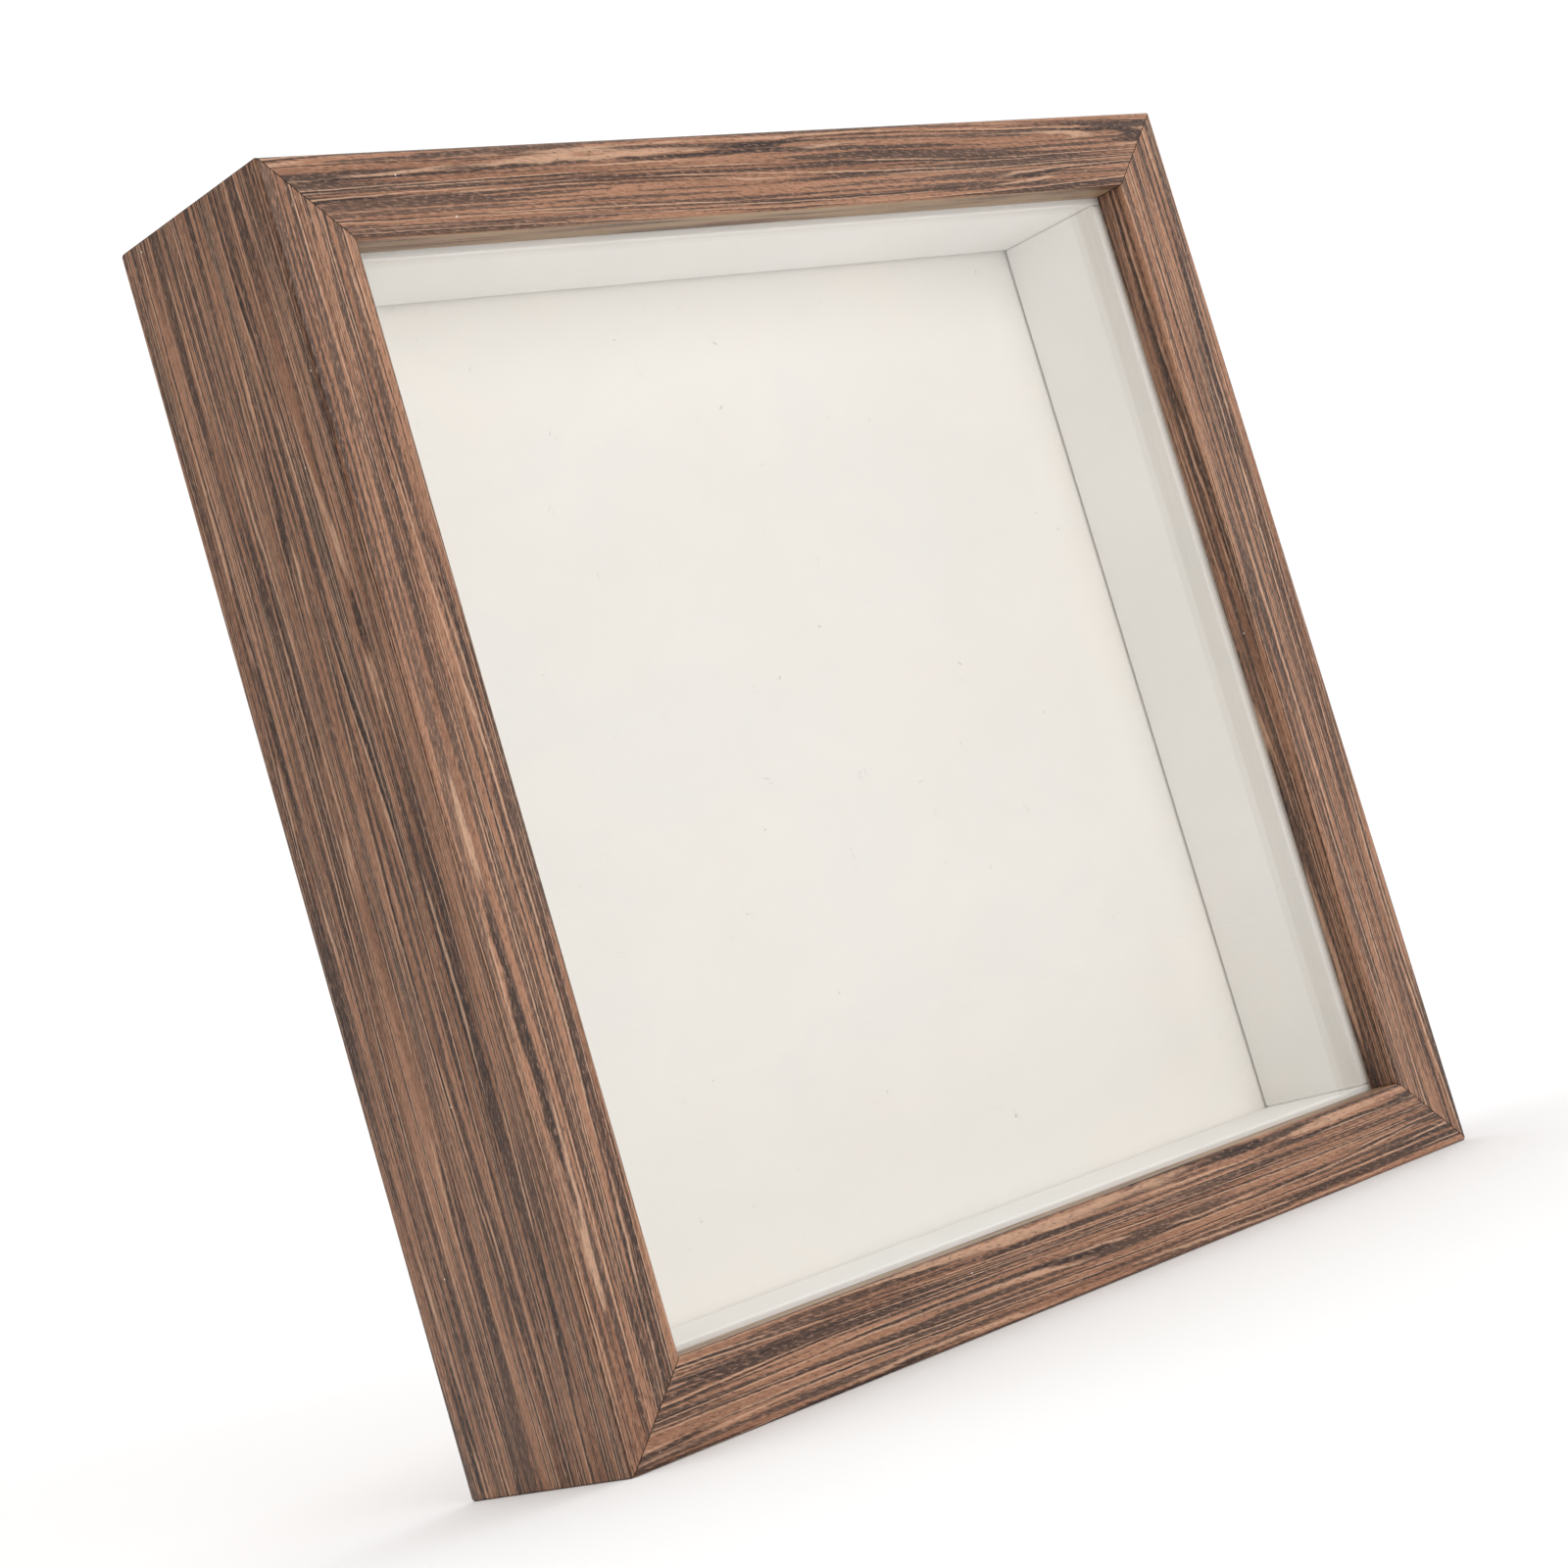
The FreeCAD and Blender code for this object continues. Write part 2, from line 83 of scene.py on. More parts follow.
def to_side(side):
    """Turn from the bottom rail's place to this side's."""
    turn = Matrix.Rotation(math.radians(SIDE_TURNS[side]), 4, "Y")
    return Matrix.Translation(CENTRE) @ turn @ Matrix.Translation(-CENTRE)


# ---------------------------------------------------------------- node helpers


def colour(red, green, blue):
    """Linear RGBA for a colour given in 0 to 255 sRGB."""

    def linear(value):
        share = value / 255
        return share / 12.92 if share <= 0.04045 else ((share + 0.055) / 1.055) ** 2.4

    return (linear(red), linear(green), linear(blue), 1.0)


class Surface:
    """A node material and short calls to fill it."""

    def __init__(self, name):
        self.material = bpy.data.materials.new(name)
        self.material.use_nodes = True
        self.tree = self.material.node_tree
        self.tree.nodes.clear()
        self.output = self.add("ShaderNodeOutputMaterial")

    def add(self, kind, **settings):
        node = self.tree.nodes.new(kind)
        for key, value in settings.items():
            setattr(node, key, value)
        return node

    def feed(self, socket, value):
        if isinstance(value, bpy.types.NodeSocket):
            self.tree.links.new(value, socket)
        else:
            socket.default_value = value

    def place(self, uv_map=None):
        """Surface coordinates in millimetres: the named UV map, or the object's own."""
        if uv_map:
            source = self.add("ShaderNodeUVMap", uv_map=uv_map).outputs["UV"]
        else:
            source = self.add("ShaderNodeTexCoord").outputs["Object"]
        return self.scaled(source, (1000, 1000, 1000))

    def scaled(self, vector, factors):
        node = self.add("ShaderNodeVectorMath", operation="MULTIPLY")
        self.feed(node.inputs[0], vector)
        self.feed(node.inputs[1], factors)
        return node.outputs[0]

    def math(self, operation, *values):
        node = self.add("ShaderNodeMath", operation=operation)
        for socket, value in zip(node.inputs, values):
            self.feed(socket, value)
        return node.outputs[0]

    def split(self, vector):
        node = self.add("ShaderNodeSeparateXYZ")
        self.feed(node.inputs[0], vector)
        return node.outputs

    def join(self, x=0.0, y=0.0, z=0.0):
        node = self.add("ShaderNodeCombineXYZ")
        for socket, value in zip(node.inputs, (x, y, z)):
            self.feed(socket, value)
        return node.outputs[0]

    def noise(self, vector, size=1.0, detail=2.0, roughness=0.5, distortion=0.0):
        """Noise from 0 to 1 with features of about this size, a number or one for each axis."""
        sizes = size if isinstance(size, tuple) else (size, size, size)
        node = self.add("ShaderNodeTexNoise", noise_dimensions="3D")
        self.feed(node.inputs["Vector"], self.scaled(vector, [1 / s for s in sizes]))
        self.feed(node.inputs["Scale"], 1.0)
        self.feed(node.inputs["Detail"], detail)
        self.feed(node.inputs["Roughness"], roughness)
        self.feed(node.inputs["Distortion"], distortion)
        return node.outputs["Fac"]

    def cells(self, vector, size, feature="F1"):
        """Distance inside scattered cells of about this size, as a share of it."""
        node = self.add("ShaderNodeTexVoronoi", feature=feature)
        self.feed(node.inputs["Vector"], vector)
        self.feed(node.inputs["Scale"], 1 / size)
        return node.outputs["Distance"]

    def step(self, value, low, high, start=0.0, end=1.0):
        """Smooth ramp from start to end as value goes from low to high."""
        node = self.add("ShaderNodeMapRange", interpolation_type="SMOOTHSTEP")
        for socket, number in zip(node.inputs, (value, low, high, start, end)):
            self.feed(socket, number)
        return node.outputs["Result"]

    def mix(self, factor, first, second):
        """Colour from first to second as factor goes from 0 to 1."""
        node = self.add("ShaderNodeMix", data_type="RGBA")
        self.feed(node.inputs["Factor"], factor)
        self.feed(node.inputs[6], first)
        self.feed(node.inputs[7], second)
        return node.outputs[2]

    def bump(self, height, depth, strength=1.0):
        """Normal from a height of 0 to 1 that stands for this depth in metres."""
        node = self.add("ShaderNodeBump")
        self.feed(node.inputs["Height"], height)
        self.feed(node.inputs["Distance"], depth)
        self.feed(node.inputs["Strength"], strength)
        return node.outputs["Normal"]

    def principled(self, **inputs):
        node = self.add("ShaderNodeBsdfPrincipled")
        for name, value in inputs.items():
            self.feed(node.inputs[name.replace("_", " ")], value)
        return node.outputs[0]

    def finish(self, shader):
        self.tree.links.new(shader, self.output.inputs["Surface"])
        return self.material


# ---------------------------------------------------------------- materials

FOIL_MAP = "foil"

# Colours of the foil, mostly printed: the hair-line colours are partly painted highlight and painted
# shade, and the lip's film colour is painted bounced light. Each stripe colour runs from its first tone
# to its second.
TAN = (colour(130, 90, 67), colour(167, 122, 95))
UMBER = (colour(56, 40, 33), colour(87, 67, 56))
# Hair-line colours: partly print, partly painted highlight on the ridges and painted shade in the
# grooves.
RIDGE_PRINT_AND_HIGHLIGHT = colour(200, 160, 132)
GROOVE_PRINT_AND_SHADE = colour(38, 24, 19)
PALE_FLECK = colour(190, 150, 126)
DARK_FLECK = colour(42, 30, 26)
PORE = colour(38, 27, 24)
SPECK = colour(225, 214, 204)
# Painted light: a paler film for the lip's inner faces, where light bounced from the floor and board
# falls.
BOUNCE_LIGHT_FILM = colour(182, 156, 124)

# Embossed hair lines stand in groups: pitch in millimetres across the grain, the rest in shares of it.
# Their colours are partly print and partly painted highlight on the raised lines and painted shade in
# the sunk one.
LINE_PITCH = 2.3
BRIGHT_PLACES = (0.34, 0.68)
BRIGHT_HALF_WIDTH = 0.085
DEEP_PLACE = 0.51
DEEP_HALF_WIDTH = 0.095
FOIL_RELIEF = 0.08 * MM


def walnut_foil(name, bounce_light=0.0):
    """Printed walnut film: two tones in long ragged stripes, embossed hair lines, flecks and pores.

    Sizes are in millimetres, along the grain and then across it. The third coordinate of each noise
    only picks another pattern. The last argument paints light: it pales the film in patches, standing
    for light bounced from the floor and the board onto the lip's inner faces.
    """
    s = Surface(name)
    place = s.place(FOIL_MAP)
    along, across, _ = s.split(place)

    # The stripes wander by a millimetre or so, and a shear cuts their ends into slanted wedges.
    drift = s.noise(place, (110.0, 40.0, 1.0), detail=1.0)
    across_bent = s.math("ADD", across, s.math("MULTIPLY_ADD", drift, 2.4, -1.2))
    along_cut = s.math("MULTIPLY_ADD", across_bent, 4.0, along)

    wide = s.noise(s.join(along_cut, across_bent), (80.0, 1.40, 1.0), detail=1.0)
    narrow = s.noise(s.join(along_cut, across_bent, 31.0), (50.0, 0.55, 1.0), detail=1.0)
    hairy = s.noise(s.join(along, across, 7.0), (3.0, 0.17, 1.0), detail=2.0)
    stripes = s.math("MULTIPLY_ADD", narrow, 0.70, wide)
    stripes = s.math("MULTIPLY_ADD", hairy, 0.20, stripes)
    dark = s.step(stripes, 0.925, 0.975)

    tone = s.noise(s.join(along, across, 53.0), (90.0, 3.6, 1.0), detail=2.0)
    tan = s.mix(s.step(tone, 0.33, 0.67), *TAN)
    umber = s.mix(s.step(tone, 0.33, 0.67), *UMBER)
    # In places the dark stripes print weakly.
    fade = s.noise(s.join(along, across, 77.0), (70.0, 16.0, 1.0), detail=1.0)
    paint = s.mix(s.math("MULTIPLY", dark, s.step(fade, 0.35, 0.65, 0.80, 1.0)), tan, umber)

    # turn is how far across its group of hair lines a point is, from 0 to 1.
    sway = s.noise(s.join(along, across_bent, 17.0), (170.0, 6.0, 1.0), detail=0.0)
    quiver = s.noise(s.join(along, across, 29.0), (9.0, 2.0, 1.0), detail=1.0)
    sway = s.math("MULTIPLY_ADD", quiver, 0.05, sway)
    groups = s.math("DIVIDE", across_bent, LINE_PITCH)
    turn = s.math("FRACT", s.math("MULTIPLY_ADD", sway, 4.0, groups))

    def hair_line(place_in_turn, half_width, pattern, least):
        """One line of each group, seen only where its patchy noise is above least."""
        off = s.math("ABSOLUTE", s.math("SUBTRACT", turn, place_in_turn))
        patch = s.noise(s.join(along, across, pattern), (46.0, 1.9, 1.0), detail=1.0)
        seen = s.step(patch, least, least + 0.12)
        return s.math("MULTIPLY", seen, s.step(off, half_width, half_width * 0.4))

    # A deep line between two bright ones, as the embossing roller leaves them: the relief goes into the
    # bump, and the line colours are partly print, partly painted highlight on the ridges and painted
    # shade in the groove.
    first = hair_line(BRIGHT_PLACES[0], BRIGHT_HALF_WIDTH, 3.0, 0.40)
    second = hair_line(BRIGHT_PLACES[1], BRIGHT_HALF_WIDTH, 4.0, 0.46)
    bright = s.math("MAXIMUM", first, second)
    deep = hair_line(DEEP_PLACE, DEEP_HALF_WIDTH, 5.0, 0.40)
    paint = s.mix(s.math("MULTIPLY", bright, 0.80), paint, RIDGE_PRINT_AND_HIGHLIGHT)
    paint = s.mix(s.math("MULTIPLY", deep, 0.90), paint, GROOVE_PRINT_AND_SHADE)

    # Fine slanted flecks and pores all over, and a few pale specks.
    slant = s.math("MULTIPLY_ADD", across, 2.6, along)
    flecks = s.noise(s.join(slant, across, 91.0), (1.5, 0.42, 1.0), detail=3.0, roughness=0.7)
    paint = s.mix(s.step(flecks, 0.50, 0.70, 0.0, 0.52), paint, PALE_FLECK)
    paint = s.mix(s.step(flecks, 0.50, 0.30, 0.0, 0.70), paint, DARK_FLECK)
    pores = s.noise(s.join(along, across, 23.0), (7.0, 0.22, 1.0), detail=1.0)
    pore = s.step(pores, 0.64, 0.73)
    paint = s.mix(s.math("MULTIPLY", pore, 0.55), paint, PORE)
    specks = s.step(s.cells(place, 9.0), 0.026, 0.014)
    paint = s.mix(specks, paint, SPECK)
    # Painted light: patches of paler film stand for bounced light on the lip's inner faces.
    if bounce_light:
        bounce_light_patches = s.noise(s.join(along, across, 67.0), (38.0, 2.6, 1.0), detail=2.0)
        paint = s.mix(s.step(bounce_light_patches, 0.30, 0.62, 0.0, bounce_light), paint, BOUNCE_LIGHT_FILM)

    relief = s.math("MULTIPLY_ADD", bright, 0.5, s.math("MULTIPLY", flecks, 0.6))
    relief = s.math("MULTIPLY_ADD", deep, -0.6, relief)
    relief = s.math("MULTIPLY_ADD", pore, -0.4, relief)
    return s.finish(s.principled(
        Base_Color=paint,
        Roughness=s.math("MULTIPLY_ADD", flecks, 0.22, 0.36),
        Specular_IOR_Level=0.30,
        Coat_Weight=0.05,
        Coat_Roughness=0.3,
        Normal=s.bump(relief, FOIL_RELIEF, 0.9),
    ))


def raw_board(name, light, dark, fibre=0.9, cloud=0.5):
    """Unfinished fibreboard: short matted fibres, and clouds that take up the stated share."""
    s = Surface(name)
    place = s.place()
    fibres = s.noise(place, fibre, detail=4.0, roughness=0.7, distortion=1.2)
    clouds = s.noise(place, 17.0, detail=2.0)
    blend = s.math("MULTIPLY_ADD", clouds, cloud, s.math("MULTIPLY", fibres, 1 - cloud))
    paint = s.mix(s.step(blend, 0.36, 0.64), dark, light)
    splinters = s.step(s.noise(place, (3.2, 0.5, 0.5), detail=1.0), 0.66, 0.76)
    paint = s.mix(s.math("MULTIPLY", splinters, 0.35), paint, dark)
    return s.finish(s.principled(
        Base_Color=paint,
        Roughness=s.math("MULTIPLY_ADD", fibres, 0.2, 0.68),
        Specular_IOR_Level=0.3,
        Normal=s.bump(fibres, 0.12 * MM, 0.6),
    ))


# How far from the board's centre, in millimetres, the painted light at its rim begins and is full: the
# rim is painted brighter, against the shade that the lip and spacers cast.
PAINTED_LIGHT_RIM_START = 86.0
PAINTED_LIGHT_RIM_FULL = 112.0


def paper(name, base, shade, mark, marks=0.5, painted_light_rim=None):
    """Smooth paper: faint clouds, fine tooth, a few loose fibres and specks, perhaps painted light at
    its rim, a brighter colour against the lip's shade.
    """
    s = Surface(name)
    place = s.place()
    tooth = s.noise(place, 0.35, detail=3.0, roughness=0.6)
    clouds = s.noise(place, 46.0, detail=2.0)
    paint = s.mix(s.step(clouds, 0.3, 0.7), base, shade)
    # Painted light: towards the board's rim the paper turns to the brighter rim colour, against the
    # shade of the lip and spacers.
    if painted_light_rim:
        across, _, up = s.split(place)
        height = s.math("ABSOLUTE", s.math("SUBTRACT", up, CENTRE.z / MM))
        off = s.math("MAXIMUM", s.math("ABSOLUTE", across), height)
        off = s.math("MULTIPLY_ADD", clouds, 14.0, off)
        paint = s.mix(s.step(off, PAINTED_LIGHT_RIM_START, PAINTED_LIGHT_RIM_FULL), paint, painted_light_rim)
    paint = s.mix(s.step(tooth, 0.5, 0.8, 0.0, 0.08), paint, mark)
    bent = s.noise(place, 6.0, detail=1.0, distortion=2.5)
    thread = s.step(s.math("ABSOLUTE", s.math("SUBTRACT", bent, 0.5)), 0.0045, 0.0015)
    rare = s.step(s.noise(place, 3.1, detail=0.0), 0.71, 0.76)
    specks = s.step(s.cells(place, 12.0), 0.022, 0.012)
    seen = s.math("MAXIMUM", s.math("MULTIPLY", thread, rare), specks)
    paint = s.mix(s.math("MULTIPLY", seen, marks), paint, mark)
    return s.finish(s.principled(
        Base_Color=paint,
        Roughness=s.math("MULTIPLY_ADD", tooth, 0.2, 0.5),
        Specular_IOR_Level=0.35,
        Normal=s.bump(tooth, 0.02 * MM, 0.35),
    ))


def foam():
    """Cut edge of a foam board: small closed cells."""
    s = Surface("foam_core")
    place = s.place()
    walls = s.cells(place, 0.45, feature="DISTANCE_TO_EDGE")
    cut = s.noise(place, (9.0, 9.0, 0.8), detail=2.0)
    paint = s.mix(s.step(walls, 0.0, 0.22), colour(250, 249, 246), colour(226, 224, 219))
    paint = s.mix(s.step(cut, 0.5, 0.8, 0.0, 0.3), paint, colour(205, 202, 196))
    return s.finish(s.principled(
        Base_Color=paint,
        Roughness=s.math("MULTIPLY_ADD", walls, 0.2, 0.7),
        Normal=s.bump(walls, 0.08 * MM, 0.7),
    ))


def zinc_steel(name, base, bounce_light_patches, brushed=(6.0, 0.14, 0.14)):
    """Zinc-plated steel: a brushed grain, cloudy plating and small dull scratches."""
    s = Surface(name)
    place = s.place()
    grain = s.noise(place, brushed, detail=3.0, roughness=0.6)
    clouds = s.noise(place, 2.6, detail=3.0, roughness=0.6, distortion=0.8)
    scratch = s.step(s.noise(place, (0.5, 3.5, 0.12), detail=0.0), 0.72, 0.78)
    paint = s.mix(s.step(clouds, 0.35, 0.7), base, bounce_light_patches)
    paint = s.mix(s.math("MULTIPLY", scratch, 0.5), paint, colour(235, 235, 232))
    gloss = s.math("MULTIPLY_ADD", clouds, 0.2, s.math("MULTIPLY_ADD", grain, 0.18, 0.14))
    return s.finish(s.principled(
        Base_Color=paint,
        Metallic=1.0,
        Roughness=gloss,
        Normal=s.bump(grain, 0.03 * MM, 0.5),
    ))


def rubber():
    """Moulded black rubber with fine dust."""
    s = Surface("rubber")
    place = s.place()
    skin = s.noise(place, 0.3, detail=4.0, roughness=0.7)
    dust = s.noise(place, 2.2, detail=3.0, roughness=0.7)
    paint = s.mix(s.step(dust, 0.5, 0.75, 0.0, 0.5), colour(38, 37, 36), colour(82, 79, 75))
    return s.finish(s.principled(
        Base_Color=paint,
        Roughness=s.math("MULTIPLY_ADD", skin, 0.3, 0.5),
        Normal=s.bump(skin, 0.05 * MM, 0.6),
    ))


def float_glass():
    """Clear sheet glass. Shadow and diffuse rays go straight through, so what is behind it is lit."""
    s = Surface("float_glass")
    place = s.place()
    smear = s.noise(place, (38.0, 38.0, 23.0), detail=4.0, roughness=0.6, distortion=0.7)
    tint = s.mix(s.step(smear, 0.3, 0.7), colour(250, 252, 251), colour(253, 253, 251))
    glass = s.principled(
        Base_Color=tint,
        Roughness=s.step(smear, 0.5, 0.8, 0.0, 0.02),
        IOR=1.5,
        Transmission_Weight=1.0,
        Normal=s.bump(smear, 0.02 * MM, 0.05),
    )
    path = s.add("ShaderNodeLightPath")
    clear = s.add("ShaderNodeBsdfTransparent").outputs[0]
    for ray in ("Is Shadow Ray", "Is Diffuse Ray"):
        choice = s.add("ShaderNodeMixShader")
        s.feed(choice.inputs[0], path.outputs[ray])
        s.feed(choice.inputs[1], glass)
        s.feed(choice.inputs[2], clear)
        glass = choice.outputs[0]
    return s.finish(glass)


def joint_shade_line():
    """Painted shade with old glue in the hairline where two rails meet: a dark brown that stands for the
    shade in the narrow groove.
    """
    s = Surface("mitre_joint_shade")
    shade_and_glue = s.noise(s.place(), 1.4, detail=3.0)
    paint = s.mix(s.step(shade_and_glue, 0.35, 0.7), colour(30, 21, 18), colour(52, 38, 31))
    return s.finish(s.principled(
        Base_Color=paint,
        Roughness=s.math("MULTIPLY_ADD", shade_and_glue, 0.2, 0.7),
        Specular_IOR_Level=0.2,
    ))


FOIL = walnut_foil("walnut_foil")
# The lip's foil carries painted light, paler where bounced light falls.
LIT_LIP_FOIL = walnut_foil("walnut_foil_lip_painted_light", bounce_light=0.75)
# Dark joint colour: painted shade in the mitre hairline, with old glue.
JOINT_SHADE = joint_shade_line()
RAW_RAIL = raw_board("raw_rail_board", colour(190, 158, 120), colour(150, 118, 86))
BACK_PANEL = raw_board(
    "back_panel_board", colour(166, 129, 93), colour(128, 95, 66), fibre=0.7, cloud=0.10)
GLASS = float_glass()
SPACER_PAPER = paper(
    "spacer_paper", colour(243, 241, 238), colour(240, 238, 234), colour(168, 160, 150), marks=0.3)
# The display paper's rim colour is brighter than its middle: painted light against the lip's shade.
DISPLAY_PAPER = paper(
    "display_paper", colour(230, 226, 221), colour(229, 224, 218), colour(128, 112, 98),
    painted_light_rim=colour(237, 232, 226))
LINER_PAPER = paper("liner_paper", colour(214, 198, 170), colour(204, 186, 156), colour(140, 116, 88))
FOAM = foam()
BUTTON_STEEL = zinc_steel("button_zinc", colour(196, 196, 192), colour(168, 167, 160))
SCREW_STEEL = zinc_steel(
    "screw_zinc", colour(205, 203, 196), colour(176, 172, 160), brushed=(0.4, 0.4, 0.4))
HANGER_STEEL = zinc_steel("hanger_zinc", colour(200, 198, 190), colour(170, 166, 154))
NAIL_STEEL = zinc_steel(
    "nail_steel_bright", colour(176, 176, 174), colour(138, 137, 133), brushed=(0.5, 0.5, 2.0))
RUBBER = rubber()

# ---------------------------------------------------------------- mesh helpers

SHARP_ANGLE = math.radians(38)


def make_piece(name, bm, materials, body, replaced, place=None, weighted=True):
    """Mesh object from bm, standing for the replaced CAD nodes, moving with body."""
    bmesh.ops.recalc_face_normals(bm, faces=bm.faces)
    mesh = bpy.data.meshes.new(name)
    bm.to_mesh(mesh)
    bm.free()
    for material in materials:
        mesh.materials.append(material)
    if place is not None:
        mesh.transform(place)
    piece = bpy.data.objects.new(name, mesh)
    bpy.context.scene.collection.objects.link(piece)
    shade(piece, weighted)
    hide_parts(*replaced)
    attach(piece, body)
    return piece


def shade(piece, weighted):
    """Smooth shading inside each face group, sharp where faces meet at an angle."""
    mesh = piece.data
    mesh.shade_smooth()
    mesh.set_sharp_from_angle(angle=SHARP_ANGLE)
    if weighted:
        normals = piece.modifiers.new("even_normals", "WEIGHTED_NORMAL")
        normals.keep_sharp = True
        normals.weight = 90


def round_edges(piece, width, segments=3, angle=30):
    """Bevel modifier, ahead of the one that evens the normals."""
    bevel = piece.modifiers.new("rounded_edges", "BEVEL")
    bevel.width = width
    bevel.segments = segments
    bevel.limit_method = "ANGLE"
    bevel.angle_limit = math.radians(angle)
    bevel.harden_normals = False
    piece.modifiers.move(len(piece.modifiers) - 1, 0)


def arc(centre, radius, start, end, steps=6):
    """Points on an arc in a (depth, height) plane, angles in degrees."""
    points = []
    for number in range(steps + 1):
        angle = math.radians(start + (end - start) * number / steps)
        points.append(centre + radius * Vector((math.cos(angle), math.sin(angle))))
    return points


def inward(loop):
    """Inward unit normal at each point of a closed 2-D loop that runs clockwise."""
    normals = []
    for number, point in enumerate(loop):
        before, after = loop[number - 1], loop[(number + 1) % len(loop)]
        edges = ((point - before).normalized(), (after - point).normalized())
        normal = sum((Vector((edge.y, -edge.x)) for edge in edges), Vector((0, 0)))
        normals.append(normal.normalized())
    return normals


def skin(bm, rings, closed=True):
    """Quads between neighbouring rings of vertices; returns a row of faces for each pair."""
    rows = []
    for first, second in zip(rings, rings[1:]):
        count = len(first)
        row = []
        for number in range(count if closed else count - 1):
            after = (number + 1) % count
            row.append(bm.faces.new((first[number], first[after], second[after], second[number])))
        rows.append(row)
    return rows


def slab(bm, under, upper):
    """Closed solid between two grids of vertices: both grids, and the band between their borders."""
    skin(bm, under, closed=False)
    skin(bm, upper, closed=False)
    borders = []
    for rows in (under, upper):
        ends = [row[-1] for row in rows[1:]]
        starts = [row[0] for row in rows[-2:0:-1]]
        borders.append(rows[0] + ends + rows[-1][-2::-1] + starts)
    skin(bm, borders)


def lathe(bm, profile, centre, steps=40, turn=0.0):
    """Solid of revolution about an axis along Y. profile runs from axis to axis as (radius, depth)."""
    rings = []
    for number in range(steps):
        angle = turn + math.tau * number / steps
        ring = []
        for radius, depth in profile[1:-1]:
            spot = Vector((radius * math.cos(angle), depth, radius * math.sin(angle)))
            ring.append(bm.verts.new(centre + spot))
        rings.append(ring)
    skin(bm, rings + rings[:1], closed=False)
    for (_, depth), row in ((profile[0], 0), (profile[-1], -1)):
        pole = bm.verts.new(centre + Vector((0, depth, 0)))
        for first, second in zip(rings, rings[1:] + rings[:1]):
            bm.faces.new((pole, first[row], second[row]))


def make_cutter(bm, materials=()):
    """Object for apply_cut from bm; its materials go on the cut faces."""
    bmesh.ops.recalc_face_normals(bm, faces=bm.faces)
    mesh = bpy.data.meshes.new("cutter")
    bm.to_mesh(mesh)
    bm.free()
    for material in materials:
        mesh.materials.append(material)
    cutter = bpy.data.objects.new("cutter", mesh)
    bpy.context.scene.collection.objects.link(cutter)
    return cutter


def apply_cut(piece, cutter):
    """Take cutter's volume out of piece for good, and delete cutter."""
    cut = piece.modifiers.new("cut", "BOOLEAN")
    cut.operation = "DIFFERENCE"
    cut.solver = "EXACT"
    cut.object = cutter
    bpy.context.view_layer.update()
    graph = bpy.context.evaluated_depsgraph_get()
    mesh = bpy.data.meshes.new_from_object(piece.evaluated_get(graph))
    piece.modifiers.remove(cut)
    old = piece.data
    piece.data = mesh
    bpy.data.meshes.remove(old)
    bpy.data.objects.remove(cutter)


# ---------------------------------------------------------------- rails

FOIL_RETURN = 2.6 * MM
MITRE_GAP = 0.03 * MM
MITRE_ROUNDING = 0.18 * MM
# Rings at each end of a rail, from the mitre inwards: how far each is sunk in from the rail's faces, and
# how far it is short of the mitre plane, both as shares of the rounding.
MITRE_CUTS = ((1.0, 0.0), (0.62, 0.12), (0.3, 0.4), (0.08, 0.75), (0.0, 1.0))
# Rows of faces at each end of a rail that the joint line, with its painted shade, covers.
JOINT_ROWS = 2
# Extra thickness of the V nails where they cut the rails, so that no faces touch.
NAIL_CLEARANCE = 0.06 * MM

RAIL_MATERIALS = (FOIL, RAW_RAIL, JOINT_SHADE, LIT_LIP_FOIL)
FOILED, BARE, SHADED_JOINT, LIT_LIP = range(len(RAIL_MATERIALS))

# Start of each rail's piece of foil along the roll, so that no two rails carry the same print.
FOIL_STARTS = {"bottom": 0.000, "left": 0.910, "top": 2.330, "right": 3.720}
FOIL_SHIFTS = {"bottom": 0.004, "left": 0.131, "top": 0.262, "right": 0.413}


def rail_section():
    """Closed (depth, height) loop of a rail in the bottom rail's place, and where its foil ends."""
    foil = [Vector((REAR, REAR_ARRIS + FOIL_RETURN))]
    foil += arc(Vector((REAR - REAR_ARRIS, REAR_ARRIS)), REAR_ARRIS, 0, -90, 5)
    foil += arc(Vector((FRONT + OUTER_ARRIS, OUTER_ARRIS)), OUTER_ARRIS, -90, -180, 8)
    foil += arc(Vector((FRONT + SIGHT_ARRIS, FACE - SIGHT_ARRIS)), SIGHT_ARRIS, 180, 90, 6)
    foil += [Vector((LIP_BACK, FACE))]
    bare = [Vector((LIP_BACK, WALL)), Vector((REAR, WALL))]
    return foil + bare, len(foil)


def rail_rings(bm, section):
    """Rings of vertices from one mitred end of a rail to the other."""
    normals = inward(section)
    rings = []
    for end, cuts in ((-1, MITRE_CUTS), (1, MITRE_CUTS[::-1])):
        for sink, run in cuts:
            ring = []
            for point, normal in zip(section, normals):
                spot = point + normal * (MITRE_ROUNDING * sink)
                reach = HALF - spot.y - MITRE_GAP - MITRE_ROUNDING * run
                ring.append(bm.verts.new((end * reach, spot.x, spot.y)))
            rings.append(ring)
    return rings


def cover_rail(rows, foil_count, lip_cover):
    """Material of each face: foil round the outside, the lip's inner face (painted bounced light on the
    top and bottom rails), bare board, and the joint lines, with painted shade.
    """
    for place, row in enumerate(rows):
        # The faces nearest each mitre take the joint's painted shade.
        at_joint = min(place, len(rows) - 1 - place) < JOINT_ROWS
        for number, face in enumerate(row):
            cover = FOILED if number < foil_count - 2 else BARE
            if number == foil_count - 2:
                cover = lip_cover
            face.material_index = SHADED_JOINT if at_joint else cover


